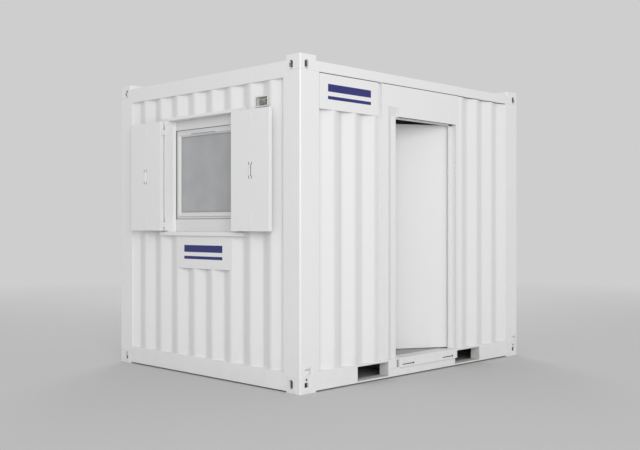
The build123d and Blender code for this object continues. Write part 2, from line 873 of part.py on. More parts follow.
def shutter_hinges(side):
    """The upper knuckles of a shutter's two hinges."""
    plane = shutter_plane(side)
    with BuildPart() as hinges:
        for level in hinge_levels:
            with BuildSketch(plane.offset(level + shutter_knuckle_length + knuckle_gap)):
                Circle(shutter_knuckle_diameter / 2)
                Rectangle(
                    shutter_edge_gap,
                    shutter_bracket_thickness,
                    align=(Align.MIN, Align.CENTER),
                )
                Circle(shutter_pin_diameter / 2 + pin_clearance, mode=Mode.SUBTRACT)
            extrude(amount=shutter_knuckle_length)
    return hinges.part


for side, name in ((-1, "right"), (1, "left")):
    save(shutter_leaf(side), "shutter_" + name)
    save(shutter_hinges(side), "shutter_" + name + "_hinges")

bracket_reach = moving_gap + shutter_thickness / 2
with BuildPart() as shutter_hinge_pins:
    for side in (-1, 1):
        axis_x, axis_y = window_side(window_centre + side * shutter_axis_offset, shutter_axis_depth)
        bracket_plane = Plane(origin=(axis_x, axis_y, 0), x_dir=(1, 0, 0), z_dir=(0, 0, 1))
        for level in hinge_levels:
            with BuildSketch(bracket_plane.offset(level)):
                Circle(shutter_knuckle_diameter / 2)
                Rectangle(bracket_reach, shutter_bracket_thickness, align=(Align.MIN, Align.CENTER))
            extrude(amount=shutter_knuckle_length)
            with BuildSketch(bracket_plane.offset(level)):
                Circle(shutter_pin_diameter / 2)
            extrude(amount=2 * shutter_knuckle_length + knuckle_gap)
save(shutter_hinge_pins.part, "shutter_hinge_pins")

# Sign plates on the crests of the walls
front_sign_outline = slab_outline(
    front, front_sign_start, front_sign_end, crest_depth - sign_thickness, crest_depth
)
save(upright(front_sign_outline, front_sign_bottom, side_rail_underside), "front_sign_plate")
end_sign_outline = slab_outline(
    window_side, end_sign_start, end_sign_end, crest_depth - sign_thickness, crest_depth
)
save(upright(end_sign_outline, end_sign_bottom, surround_bottom), "end_sign_plate")

# Electrical inlet: an open box in the window end wall with two sockets
with BuildPart() as electrical_inlet:
    with BuildSketch(Plane.YZ.offset(window_end_x + crest_depth)):
        with Locations((front_y + inlet_start + inlet_width / 2, inlet_bottom + inlet_height / 2)):
            Rectangle(inlet_width, inlet_height)
    extrude(amount=inlet_depth)
    with BuildSketch(Plane.YZ.offset(window_end_x + crest_depth)):
        with Locations((front_y + inlet_start + inlet_width / 2, inlet_bottom + inlet_height / 2)):
            Rectangle(inlet_width - 2 * inlet_wall, inlet_height - 2 * inlet_wall)
    extrude(amount=inlet_depth - inlet_wall, mode=Mode.SUBTRACT)
    with BuildSketch(Plane.YZ.offset(window_end_x + crest_depth + inlet_depth - inlet_wall)):
        with Locations((front_y + inlet_start + inlet_width / 2, inlet_bottom + inlet_height / 2)):
            with GridLocations(inlet_width / 2, 0, 2, 1):
                Circle(socket_diameter / 2)
    extrude(amount=-socket_length)
save(electrical_inlet.part, "electrical_inlet")

# Earthing lugs at the feet of the front posts
with BuildPart() as earthing_lugs:
    with BuildSketch(Plane.XZ.offset(-front_y)):
        with Locations((0, lug_bottom + lug_height / 2)):
            with GridLocations(length - 2 * lug_start - lug_width, 0, 2, 1):
                Rectangle(lug_width, lug_height)
    extrude(amount=lug_thickness)
save(earthing_lugs.part, "earthing_lugs")
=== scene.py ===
import math

import bmesh
import bpy
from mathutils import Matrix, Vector


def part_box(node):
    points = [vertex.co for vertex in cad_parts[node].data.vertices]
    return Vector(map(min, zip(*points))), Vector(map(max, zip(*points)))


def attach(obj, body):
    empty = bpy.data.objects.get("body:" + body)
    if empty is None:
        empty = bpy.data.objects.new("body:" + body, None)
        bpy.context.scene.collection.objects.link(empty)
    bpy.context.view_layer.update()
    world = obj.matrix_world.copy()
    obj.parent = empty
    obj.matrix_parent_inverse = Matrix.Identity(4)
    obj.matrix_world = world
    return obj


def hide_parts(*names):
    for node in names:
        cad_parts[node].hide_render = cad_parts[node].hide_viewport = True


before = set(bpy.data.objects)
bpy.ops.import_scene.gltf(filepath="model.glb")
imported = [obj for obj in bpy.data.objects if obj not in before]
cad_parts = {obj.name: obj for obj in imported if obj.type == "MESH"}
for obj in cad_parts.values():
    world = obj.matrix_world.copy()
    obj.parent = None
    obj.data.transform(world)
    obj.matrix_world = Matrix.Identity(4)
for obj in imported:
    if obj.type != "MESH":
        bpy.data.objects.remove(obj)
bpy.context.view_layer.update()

# A ten-foot container cabin, in metres
# Places along a wall are measured from the corner where the door wall and the window end wall meet
# Depths are measured inwards from the outer plane of the corner castings
castings_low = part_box("bottom_corner_castings")[0]
castings_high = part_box("top_corner_castings")[1]
window_end_x = castings_low.x
front_y = castings_low.y
blind_end_x = castings_high.x
back_y = castings_high.y
length = blind_end_x - window_end_x
width = back_y - front_y
height = castings_high.z


def front_span(node_name):
    """The places, levels and depths between which a part of the door wall lies."""
    low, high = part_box(node_name)
    places = (low.x - window_end_x, high.x - window_end_x)
    return places, (low.z, high.z), (low.y - front_y, high.y - front_y)


def window_end_span(node_name):
    """The same for a part of the window end wall."""
    low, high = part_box(node_name)
    places = (low.y - front_y, high.y - front_y)
    return places, (low.z, high.z), (low.x - window_end_x, high.x - window_end_x)


# Frame, floor and linings
casting_length = 0.178
casting_width = 0.162
casting_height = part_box("bottom_corner_castings")[1].z
casting_side_wall = 0.016
casting_face_wall = 0.028
post_lap = 0.027
rail_depth = 0.060
rail_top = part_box("bottom_side_rails")[1].z
side_rail_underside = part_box("top_side_rails")[0].z
end_rail_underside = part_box("top_end_rails")[0].z
wall_depth = front_span("front_wall_over_door")[2][1]
lining_depth = front_span("front_lining_over_door")[2][1]
floor_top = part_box("floor_covering")[1].z
ceiling_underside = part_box("ceiling")[0].z

# Corrugated sheet
crest_depth = 0.006
valley_depth = 0.036
sheet_flat = 0.020
sheet_slope = 0.100
front_first_crest_end = 0.387
front_pitch = 0.242
end_first_crest_end = 0.349
end_pitch = 0.2436
bend_radius = 0.050
bend_steps = 4

# Doorway
opening_start, opening_end = front_span("door_threshold")[0]
opening = (opening_start, opening_end)
jamb = opening_start - front_span("door_frame")[0][0]
door_head = 2.202
recess_top = front_span("door_frame")[1][1]
strip_width = 0.080
strip_slope = 0.070
strip_end = front_span("front_wall_over_door")[0][0]
strip_start = strip_end - strip_width
stop_depths = (0.046, 0.058)
stop_projection = 0.013
hinge_stop_projection = 0.052
leaf_thickness = 0.045
leaf_reach = 0.0025
leaf_width = 0.800
leaf_inner = 0.012
leaf_outer = leaf_inner + leaf_thickness
leaf_low, leaf_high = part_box("door_leaf")
leaf_levels = (leaf_low.z, leaf_high.z)
door_axis_depth = 0.120
door_axis = Vector((window_end_x + opening_end - leaf_reach, front_y + door_axis_depth, 0))
door_angle = math.radians(150)
handle_level = 1.050
handle_from_edge = 0.065
handle_place = leaf_reach + leaf_width - handle_from_edge

# Window and shutters
window_places, window_levels, _ = window_end_span("window_infill_strips")
window_centre = sum(window_places) / 2
surround_places, surround_levels, _ = window_end_span("window_surround")
frame_levels = window_end_span("window_frame")[1]
glass_depths = window_end_span("window_glass")[2]
shutter_levels = window_end_span("shutter_left")[1]
shutter_axis_offset = 0.4735
shutter_axis_depth = -0.051
shutter_start = 0.009
shutter_end = 0.4705
shutter_half_thickness = 0.016
latch_place = 0.245
latch_half = 0.043
latch_thickness = 0.0095
bracket_reach = 0.055
bracket_thickness = 0.0025
bolt_ends = (0.030, 0.150)

# Signs, inlet and lugs
front_sign_places, front_sign_levels, sign_depths = front_span("front_sign_plate")
end_sign_places, end_sign_levels, _ = window_end_span("end_sign_plate")
rivet_inset = 0.018
stripe_inset = 0.095
stripe_levels = ((0.000, 0.060), (-0.060, -0.034))
inlet_places, inlet_levels, inlet_depths = window_end_span("electrical_inlet")
lug_start = front_span("earthing_lugs")[0][0]
lug_width = 0.060
lug_thickness = 0.005
# Levels of the grey strips painted as shade lines on the lugs
lug_shade_line_levels = (0.180, 0.187)
lug_edge_shade_levels = (0.144, 0.200)
lug_bolt_levels = (0.155, 0.203)


def on_front(place, level, depth):
    """A point of the door wall."""
    return Vector((window_end_x + place, front_y + depth, level))


def on_back(place, level, depth):
    """A point of the back wall."""
    return Vector((window_end_x + place, back_y - depth, level))


def on_window_end(place, level, depth):
    """A point of the window end wall."""
    return Vector((window_end_x + depth, front_y + place, level))


def on_blind_end(place, level, depth):
    """A point of the blind end wall."""
    return Vector((blind_end_x - depth, front_y + place, level))


def on_leaf(place, level, outward):
    """A point of the door leaf, from its hinge axis towards the free edge and outwards."""
    along = Vector((math.cos(door_angle), math.sin(door_angle), 0))
    out = Vector((-math.sin(door_angle), math.cos(door_angle), 0))
    return door_axis + along * place + out * outward + Vector((0, 0, level))


def on_shutter(side):
    """The points of a folded shutter, from its hinge axis to the free edge and away from the wall."""
    axis = on_window_end(window_centre + side * shutter_axis_offset, 0, shutter_axis_depth)
    return lambda place, level, outward: axis + Vector((-outward, side * place, level))


def about(middle, half):
    """The two ends of a length from its middle."""
    return middle - half, middle + half


def within(ends, inset):
    """Two ends brought in by an inset."""
    return ends[0] + inset, ends[1] - inset


def tone(red, green=None, blue=None):
    """A colour from its screen levels between 0 and 255."""
    levels = (red, red if green is None else green, red if blue is None else blue)
    return (*[((level / 255 + 0.055) / 1.055) ** 2.4 for level in levels], 1.0)


def node(tree, kind, values=None, **options):
    """Add a shader node, choose its options, and fill or link its inputs."""
    made = tree.nodes.new("ShaderNode" + kind)
    for option, choice in options.items():
        setattr(made, option, choice)
    for key, value in (values or {}).items():
        if isinstance(value, bpy.types.NodeSocket):
            tree.links.new(value, made.inputs[key])
        else:
            made.inputs[key].default_value = value
    return made


def calculate(tree, operation, first, second):
    """Work out one number over the surface."""
    return node(tree, "Math", {0: first, 1: second}, operation=operation).outputs[0]


def span(tree, value, low, high, start=0.0, end=1.0):
    """Bring a value that runs from low to high to a new range, eased at both ends."""
    values = {"Value": value, "From Min": low, "From Max": high, "To Min": start, "To Max": end}
    return node(tree, "MapRange", values, interpolation_type="SMOOTHSTEP").outputs["Result"]


def effect(name, inputs, outputs):
    """Start a node group from its named inputs and outputs."""
    kinds = {"colour": "NodeSocketColor", "value": "NodeSocketFloat", "vector": "NodeSocketVector"}
    tree = bpy.data.node_groups.new(name, "ShaderNodeTree")
    for label, kind, value in inputs:
        tree.interface.new_socket(label, in_out="INPUT", socket_type=kinds[kind]).default_value = value
    for label, kind in outputs:
        tree.interface.new_socket(label, in_out="OUTPUT", socket_type=kinds[kind])
    return tree, tree.nodes.new("NodeGroupInput").outputs, tree.nodes.new("NodeGroupOutput").inputs


def placed(tree, group, values):
    """Place a node group in a material with its own values."""
    return node(tree, "Group", values, node_tree=group).outputs


def feed(tree, target, values):
    """Link worked-out values to inputs by their names."""
    for label, value in values.items():
        tree.links.new(value, target[label])


def object_place(tree):
    """Where a point of the surface lies on the object."""
    return node(tree, "TexCoord").outputs["Object"]


def drawn_place(tree, scale):
    """The same place with its directions scaled, which draws a pattern out."""
    return node(tree, "Mapping", {"Vector": object_place(tree), "Scale": scale}).outputs["Vector"]


def patches(tree, place, scale, detail):
    """Soft uneven patches."""
    return node(tree, "TexNoise", {"Vector": place, "Scale": scale, "Detail": detail}).outputs[0]


def blended(tree, factor, first, second):
    """Blend two colours by a mask."""
    return node(tree, "Mix", {"Factor": factor, 6: first, 7: second}, data_type="RGBA").outputs[2]


def pressed(tree, strength, depth, pattern):
    """The normal of a surface that a pattern is pressed into."""
    values = {"Strength": strength, "Distance": depth, "Height": pattern}
    return node(tree, "Bump", values).outputs["Normal"]


def product(tree, first, second):
    """Multiply two numbers over the surface."""
    return calculate(tree, "MULTIPLY", first, second)


def uneven_tone_group():
    """Broad and faint differences in the tone of a coating, drawn out downwards."""
    tree, given, result = effect(
        "uneven_tone",
        [("Colour", "colour", tone(226)), ("Amount", "value", 0.04), ("Scale", "value", 2.0)],
        [("Colour", "colour")],
    )
    broad = patches(tree, drawn_place(tree, (1.0, 1.0, 0.3)), given["Scale"], 5.0)
    change = product(tree, calculate(tree, "SUBTRACT", broad, 0.5), given["Amount"])
    factor = calculate(tree, "ADD", change, 1.0)
    changed = node(tree, "VectorMath", {0: given["Colour"], "Scale": factor}, operation="SCALE")
    feed(tree, result, {"Colour": changed.outputs[0]})
    return tree


def dust_group():
    """Road dust low down and on faces that look up."""
    tree, given, result = effect(
        "settled_dust",
        [
            ("Colour", "colour", tone(226)),
            ("Dust Colour", "colour", tone(170, 162, 148)),
            ("Splash", "value", 0.1),
            ("Reach", "value", 0.5),
            ("Settled", "value", 0.1),
        ],
        [("Colour", "colour"), ("Mask", "value")],
    )
    place = object_place(tree)
    level = node(tree, "SeparateXYZ", {0: place}).outputs["Z"]
    facing = node(tree, "SeparateXYZ", {0: node(tree, "NewGeometry").outputs["Normal"]}).outputs["Z"]
    blotches = patches(tree, place, 9.0, 6.0)
    reach = {"Value": level, "From Min": 0.0, "From Max": given["Reach"], "To Min": 1.0, "To Max": 0.0}
    low = node(tree, "MapRange", reach).outputs["Result"]
    splash = product(tree, product(tree, low, span(tree, blotches, 0.3, 0.75)), given["Splash"])
    flat = product(tree, span(tree, facing, 0.5, 1.0), given["Settled"])
    settled = product(tree, flat, span(tree, blotches, 0.2, 0.8, 0.4, 1.0))
    mask = calculate(tree, "MAXIMUM", splash, settled)
    dusty = blended(tree, mask, given["Colour"], given["Dust Colour"])
    feed(tree, result, {"Colour": dusty, "Mask": mask})
    return tree


def worn_edge_group():
    """Thin rubbed edges, found where the surface turns sharply."""
    tree, given, result = effect(
        "worn_edge",
        [
            ("Colour", "colour", tone(226)),
            ("Worn Colour", "colour", tone(150)),
            ("Width", "value", 0.004),
            ("Amount", "value", 0.3),
        ],
        [("Colour", "colour"), ("Mask", "value")],
    )
    smooth = node(tree, "Bevel", {"Radius": given["Width"]}, samples=4).outputs["Normal"]
    true = node(tree, "NewGeometry").outputs["Normal"]
    same = node(tree, "VectorMath", {0: smooth, 1: true}, operation="DOT_PRODUCT").outputs["Value"]
    edge = span(tree, same, 0.99, 0.90)
    rubbed = patches(tree, object_place(tree), 14.0, 8.0)
    mask = product(tree, product(tree, edge, span(tree, rubbed, 0.45, 0.65)), given["Amount"])
    worn = blended(tree, mask, given["Colour"], given["Worn Colour"])
    feed(tree, result, {"Colour": worn, "Mask": mask})
    return tree


def fine_bump_group():
    """The fine texture of a sprayed, cast or moulded surface."""
    tree, given, result = effect(
        "fine_bump",
        [("Scale", "value", 300.0), ("Strength", "value", 0.1), ("Height", "value", 0.0003)],
        [("Normal", "vector"), ("Grain", "value")],
    )
    grain = patches(tree, object_place(tree), given["Scale"], 3.0)
    normal = pressed(tree, given["Strength"], given["Height"], grain)
    feed(tree, result, {"Normal": normal, "Grain": grain})
    return tree


# Effects that several finishes share, and the finishes by name
uneven_tone = uneven_tone_group()
settled_dust = dust_group()
worn_edge = worn_edge_group()
fine_bump = fine_bump_group()
finishes = {}


def new_finish(name):
    """Start a finish and give its tree and the inputs of its surface shader."""
    material = bpy.data.materials.new(name)
    material.use_nodes = True
    finishes[name] = material
    return material.node_tree, material.node_tree.nodes["Principled BSDF"].inputs


def coated(name, colour, roughness, peel, unevenness=0.03, splash=0.1, settled=0.1, wear=0.0):
    """A painted, powder-coated or moulded surface. Peel gives the scale and strength of its skin."""
    tree, surface = new_finish(name)
    toned = placed(tree, uneven_tone, {"Colour": colour, "Amount": unevenness, "Scale": 1.7})
    coat = toned["Colour"]
    if wear:
        coat = placed(tree, worn_edge, {"Colour": coat, "Amount": wear})["Colour"]
    dusty = placed(tree, settled_dust, {"Colour": coat, "Splash": splash, "Settled": settled})
    skin = placed(tree, fine_bump, {"Scale": peel[0], "Strength": peel[1]})
    dulled = calculate(tree, "MULTIPLY_ADD", dusty["Mask"], 0.4)
    dulled.node.inputs[2].default_value = roughness
    varied = calculate(tree, "MULTIPLY_ADD", skin["Grain"], 0.06)
    tree.links.new(dulled, varied.node.inputs[2])
    feed(tree, surface, {"Base Color": dusty["Colour"], "Roughness": varied, "Normal": skin["Normal"]})


def plywood():
    """The film-faced underside of the floor, with its long grain, dark partly to paint the shade under the
    floor.
    """
    tree, surface = new_finish("plywood")
    grain = patches(tree, drawn_place(tree, (2.0, 30.0, 30.0)), 3.0, 6.0)
    colour = blended(tree, grain, tone(70, 56, 46), tone(98, 80, 64))
    roughness = span(tree, grain, 0.3, 0.7, 0.55, 0.75)
    normal = pressed(tree, 0.2, 0.0005, grain)
    feed(tree, surface, {"Base Color": colour, "Roughness": roughness, "Normal": normal})


def floor_vinyl():
    """Grey vinyl with fine light and dark flecks."""
    tree, surface = new_finish("floor_vinyl")
    flecks = node(tree, "TexVoronoi", {"Vector": object_place(tree), "Scale": 260.0}).outputs["Color"]
    level = node(tree, "SeparateColor", {0: flecks}).outputs[0]
    colour = blended(tree, span(tree, level, 0.0, 1.0), tone(136, 138, 140), tone(178, 180, 181))
    toned = placed(tree, uneven_tone, {"Colour": colour, "Amount": 0.08, "Scale": 3.0})
    skin = placed(tree, fine_bump, {"Scale": 500.0, "Strength": 0.15})
    roughness = span(tree, skin["Grain"], 0.2, 0.8, 0.42, 0.55)
    feed(tree, surface, {"Base Color": toned["Colour"], "Roughness": roughness, "Normal": skin["Normal"]})


def lining_board():
    """Pale decorative board with a faint upright grain."""
    tree, surface = new_finish("lining_board")
    grain = patches(tree, drawn_place(tree, (24.0, 24.0, 1.2)), 3.0, 7.0)
    colour = blended(tree, span(tree, grain, 0.3, 0.7), tone(214, 213, 210), tone(226, 226, 223))
    toned = placed(tree, uneven_tone, {"Colour": colour, "Amount": 0.03, "Scale": 1.5})
    roughness = span(tree, grain, 0.2, 0.8, 0.38, 0.5)
    normal = pressed(tree, 0.06, 0.0003, grain)
    feed(tree, surface, {"Base Color": toned["Colour"], "Roughness": roughness, "Normal": normal})


def handle_metal():
    """Satin aluminium, brushed upright."""
    tree, surface = new_finish("handle_metal")
    surface["Metallic"].default_value = 1.0
    brushed = patches(tree, drawn_place(tree, (900.0, 900.0, 14.0)), 1.0, 4.0)
    colour = blended(tree, brushed, tone(176, 177, 179), tone(205, 206, 208))
    roughness = span(tree, brushed, 0.2, 0.8, 0.26, 0.42)
    normal = pressed(tree, 0.08, 0.0002, brushed)
    feed(tree, surface, {"Base Color": colour, "Roughness": roughness, "Normal": normal})


def window_glass():
    """Grey-tinted double glazing with a faint bloom of dust."""
    tree, surface = new_finish("window_glass")
    surface["Transmission Weight"].default_value = 0.5
    surface["IOR"].default_value = 1.45
    bloom = patches(tree, object_place(tree), 6.0, 6.0)
    colour = blended(tree, span(tree, bloom, 0.3, 0.7), tone(214, 217, 218), tone(222, 224, 225))
    feed(tree, surface, {"Base Color": colour, "Roughness": span(tree, bloom, 0.3, 0.8, 0.04, 0.10)})


# The cabin's finishes
white = tone(229)
coated("white_paint", white, 0.36, (420.0, 0.10))
coated("white_castings", white, 0.45, (190.0, 0.30), splash=0.22, wear=0.25)
coated("primer_steel", tone(214), 0.6, (260.0, 0.25), splash=0.35, wear=0.3)
coated("zinc_hinges", tone(226), 0.38, (420.0, 0.10))
coated("white_plastic", tone(219), 0.28, (900.0, 0.04), settled=0.05)
coated("inlet_plastic", tone(214, 214, 208), 0.42, (800.0, 0.10))
coated("sign_sheet", white, 0.32, (700.0, 0.03))
# A darker finish for faces inside the castings: painted shade in their hollows
coated("casting_cavity_shade", tone(160, 159, 156), 0.7, (190.0, 0.4), splash=0.3)
coated("sign_blue", tone(34, 36, 112), 0.34, (700.0, 0.03), unevenness=0.08)
# Rubber tone, also used for painted shade lines round the window frame and painted shadows beside the
# shutter latches
coated("rubber_and_shade", tone(62, 63, 64), 0.6, (900.0, 0.15), unevenness=0.1)
# Grey tone for seals and a sheet seam, also used for painted shade lines in the threshold gap, the vent's
# slot and on the lugs
coated("grey_seal_and_shade", tone(150, 151, 152), 0.5, (900.0, 0.10))
coated("socket_plastic", tone(150, 150, 147), 0.5, (800.0, 0.10))
# Dark tone for plugs, also used for painted shade lines under the rails, under the door head and at the
# back of the threshold slot cuts
coated("dark_seal_and_shade", tone(74, 75, 76), 0.6, (800.0, 0.10), unevenness=0.08)
# Dark underseal for the cross members, made darker partly to paint the shade under the floor
coated("underseal_and_shade", tone(46, 45, 44), 0.7, (120.0, 0.40), splash=0.2, settled=0.0)
coated("trim_plastic", tone(222, 222, 220), 0.4, (700.0, 0.06), splash=0.04)
plywood()
floor_vinyl()
lining_board()
handle_metal()
window_glass()


def dressed(made, finish, crease):
    """Shade an object smoothly except across its sharp edges, and paint it."""
    made.data.shade_smooth()
    made.data.set_sharp_from_angle(angle=math.radians(crease))
    even = made.modifiers.new("even_faces", "WEIGHTED_NORMAL")
    even.keep_sharp = True
    even.weight = 80
    made.data.materials.clear()
    made.data.materials.append(finishes[finish])


def in_scene(name, data):
    """Put a mesh, a curve, a lamp or a camera in the scene."""
    made = bpy.data.objects.new(name, data)
    bpy.context.scene.collection.objects.link(made)
    return made


def as_object(name, bm):
    """Turn a mesh under construction into an object."""
    bmesh.ops.recalc_face_normals(bm, faces=bm.faces)
    mesh = bpy.data.meshes.new(name)
    bm.to_mesh(mesh)
    bm.free()
    return in_scene(name, mesh)


def mesh_of(made):
    """What an object's curves or modifiers make of it, as a mesh."""
    depsgraph = bpy.context.evaluated_depsgraph_get()
    return bpy.data.meshes.new_from_object(made.evaluated_get(depsgraph))


def cut_away(made, cutter):
    """Cut the space of a second mesh out of an object."""
    tool = as_object("cutter", cutter)
    cut = made.modifiers.new("cut", "BOOLEAN")
    cut.operation = "DIFFERENCE"
    cut.solver = "EXACT"
    cut.use_self = True
    cut.object = tool
    old = made.data
    made.data = mesh_of(made)
    made.modifiers.clear()
    bpy.data.meshes.remove(old)
    bpy.data.objects.remove(tool)


def piece(name, bm, finish, body="cabin", stands_for=(), cutter=None, crease=40):
    """Finish a piece: cut it, shade it, paint it, and let it ride on its body."""
    made = as_object(name, bm)
    if cutter is not None:
        cut_away(made, cutter)
    dressed(made, finish, crease)
    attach(made, body)
    if stands_for:
        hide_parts(*stands_for)
    return made


def joined(bm, near, far):
    """Add the faces between two closed rings of corners."""
    faces = []
    for number in range(len(near)):
        following = (number + 1) % len(near)
        faces.append(bm.faces.new((near[number], near[following], far[following], far[number])))
    return faces


def solid(bm, rings):
    """Add a solid from the rings of corners that follow one another along it."""
    faces = [bm.faces.new(rings[0][::-1]), bm.faces.new(rings[-1])]
    for near, far in zip(rings, rings[1:]):
        faces += joined(bm, near, far)
    return faces


def eased(bm, edges, ease, steps):
    """Round edges a little."""
    bmesh.ops.bevel(
        bm, geom=edges, offset=ease, segments=steps, profile=0.5, affect="EDGES", clamp_overlap=True
    )


def plate(bm, at, outline, depths, ease=0.0015, steps=2):
    """Add a flat solid from its closed outline of (place, level) points, with eased edges."""
    rings = [[bm.verts.new(at(place, level, depth)) for place, level in outline] for depth in depths]
    faces = solid(bm, rings)
    if ease:
        eased(bm, list({edge for face in faces for edge in face.edges}), ease, steps)


def block(bm, at, places, levels, depths, ease=0.0015, steps=2):
    """Add a box with eased edges."""
    (start, end), (bottom, top) = places, levels
    plate(bm, at, ((start, bottom), (end, bottom), (end, top), (start, top)), depths, ease, steps)


def blocks(name, finish, at, boxes, ease=0.0015, steps=2, body="cabin", stands_for=()):
    """A piece made of boxes, each given by its places, levels and depths."""
    bm = bmesh.new()
    for places, levels, depths in boxes:
        block(bm, at, places, levels, depths, ease, steps)
    piece(name, bm, finish, body, stands_for)


def upright(bm, outline, levels):
    """Add a solid from its closed plan and two levels."""
    solid(bm, [[bm.verts.new((x, y, level)) for x, y in outline] for level in levels])


def swept_frame(bm, at, places, levels, section):
    """Add a mitred frame: a closed section of (inset, depth) points carried round a rectangle."""
    loops = []
    for inset, depth in section:
        start, end = within(places, inset)
        bottom, top = within(levels, inset)
        corners = ((start, bottom), (end, bottom), (end, top), (start, top))
        loops.append([bm.verts.new(at(place, level, depth)) for place, level in corners])
    for near, far in zip(loops, loops[1:] + loops[:1]):
        joined(bm, near, far)


def frames(name, finish, places, levels, sections, stands_for=(), crease=40):
    """A piece of the window end wall made of mitred frames."""
    bm = bmesh.new()
    for section in sections:
        swept_frame(bm, on_window_end, places, levels, section)
    piece(name, bm, finish, stands_for=stands_for, crease=crease)


def turned(bm, base, direction, outline, sides=24):
    """Add a round solid from its outline of (distance along the axis, radius) points."""
    turn = Vector(direction).to_track_quat("Z", "Y")
    rings = []
    for along, radius in outline:
        ring = []
        for number in range(sides):
            angle = 2 * math.pi * number / sides
            offset = Vector((radius * math.cos(angle), radius * math.sin(angle), along))
            ring.append(bm.verts.new(base + turn @ offset))
        rings.append(ring)
    solid(bm, rings)


def rod(name, runs, radius, finish="white_paint", body="cabin", smoothness=2):
    """Round rods or weld beads along runs of points."""
    curve = bpy.data.curves.new(name, "CURVE")
    curve.dimensions = "3D"
    curve.bevel_depth = radius
    curve.bevel_resolution = smoothness
    curve.use_fill_caps = True
    for run in runs:
        line = curve.splines.new("POLY")
        line.points.add(len(run) - 1)
        for point, spot in zip(line.points, run):
            point.co = (*spot, 1.0)
    drawn = in_scene(name, curve)
    mesh = mesh_of(drawn)
    bpy.data.objects.remove(drawn)
    bead = in_scene(name, mesh)
    dressed(bead, finish, 60)
    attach(bead, body)


def rounded(points, radius, steps):
    """Round the bends of an open run of (place, depth) points."""
    run = [Vector(points[0])]
    for before, corner, after in zip(points, points[1:], points[2:]):
        back = Vector(before) - Vector(corner)
        ahead = Vector(after) - Vector(corner)
        turn = back.angle(-ahead)
        reach = min(radius * math.tan(turn / 2), back.length / 2, ahead.length / 2)
        start = Vector(corner) + back.normalized() * reach
        end = Vector(corner) + ahead.normalized() * reach
        for step in range(steps + 1):
            share = step / steps
            sides = start * (1 - share) ** 2 + end * share**2
            run.append(sides + Vector(corner) * 2 * share * (1 - share))
    run.append(Vector(points[-1]))
    return run


def sheet_depth(place, first_crest_end, pitch):
    """How deep the outer line of a corrugated sheet lies at a place."""
    along = (place - first_crest_end) % pitch
    valley_length = 2 * sheet_slope + sheet_flat
    share = min(1.0, along / sheet_slope, max(0.0, (valley_length - along) / sheet_slope))
    return crest_depth + (valley_depth - crest_depth) * share


def corrugated_run(start, end, first_crest_end, pitch):
    """The outer line of a wall panel, in crests and valleys with rounded bends."""
    run = [(start, sheet_depth(start, first_crest_end, pitch))]
    crest_end = first_crest_end - math.ceil((first_crest_end - start) / pitch) * pitch
    while crest_end < end:
        for shift in (0, sheet_slope, sheet_slope + sheet_flat, 2 * sheet_slope + sheet_flat):
            place = crest_end + shift
            if start + 0.001 < place < end - 0.001:
                run.append((place, sheet_depth(place, first_crest_end, pitch)))
        crest_end += pitch
    run.append((end, sheet_depth(end, first_crest_end, pitch)))
    return rounded(run, bend_radius, bend_steps)


def wall_plan(at, run):
    """The closed plan of a wall from its outer line."""
    points = [at(place, 0, depth) for place, depth in run]
    points.append(at(run[-1][0], 0, wall_depth))
    points.append(at(run[0][0], 0, wall_depth))
    return [(point.x, point.y) for point in points]


def softened(node_name, finish, ease, body="cabin", cutter=None):
    """A copy of a part with its faces joined up and its edges eased, which stands for it."""
    bm = bmesh.new()
    bm.from_mesh(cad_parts[node_name].data)
    bmesh.ops.remove_doubles(bm, verts=bm.verts, dist=0.00001)
    bmesh.ops.dissolve_limit(bm, angle_limit=math.radians(1), verts=bm.verts, edges=bm.edges)
    sharp = []
    for edge in bm.edges:
        if len(edge.link_faces) == 2 and edge.calc_face_angle() > math.radians(30):
            sharp.append(edge)
    eased(bm, sharp, ease, 2)
    return piece(node_name + "_eased", bm, finish, body, (node_name,), cutter)


def wall_panel(name, at, run, top, node_name, cutter=None):
    """A corrugated wall from its outer line, which stands for its part."""
    bm = bmesh.new()
    upright(bm, wall_plan(at, run), (rail_top, top))
    piece(name, bm, "white_paint", stands_for=(node_name,), cutter=cutter, crease=25)


# Corrugated walls
side_start = casting_length + post_lap
side_end = length - casting_length - post_lap
end_start = casting_width + post_lap
end_end = width - casting_width - post_lap
front_left_run = corrugated_run(side_start, strip_start, front_first_crest_end, front_pitch)
front_right_run = corrugated_run(opening_end + jamb, side_end, front_first_crest_end, front_pitch)
back_run = corrugated_run(side_start, side_end, front_first_crest_end, front_pitch)
end_run = corrugated_run(end_start, end_end, end_first_crest_end, end_pitch)

bm = bmesh.new()
strip_run = front_left_run + [Vector((strip_start, 0)), Vector((strip_end, 0))]
upright(bm, wall_plan(on_front, strip_run), (rail_top, side_rail_underside))
slope_lead = 0.004
slope_bends = (
    (strip_end, 0),
    (strip_end + slope_lead, 0),
    (strip_end + strip_slope, valley_depth),
    (opening_start - jamb, valley_depth),
)
slope_run = rounded(slope_bends, bend_radius, bend_steps)
upright(bm, wall_plan(on_front, slope_run), (rail_top, recess_top))
piece("corrugated_front_left", bm, "white_paint", stands_for=("front_wall_left",), crease=25)

wall_panel("corrugated_front_right", on_front, front_right_run, side_rail_underside, "front_wall_right")
wall_panel("corrugated_back", on_back, back_run, side_rail_underside, "back_wall")
wall_panel("corrugated_blind_end", on_blind_end, end_run, end_rail_underside, "blind_end_wall")
cut_start = -0.1
cut_end = 0.2
holes = bmesh.new()
block(holes, on_window_end, surround_places, surround_levels, (cut_start, cut_end), ease=0)
block(holes, on_window_end, inlet_places, inlet_levels, (cut_start, inlet_depths[1]), ease=0)
wall_panel("corrugated_window_end", on_window_end, end_run, end_rail_underside, "window_end_wall", holes)

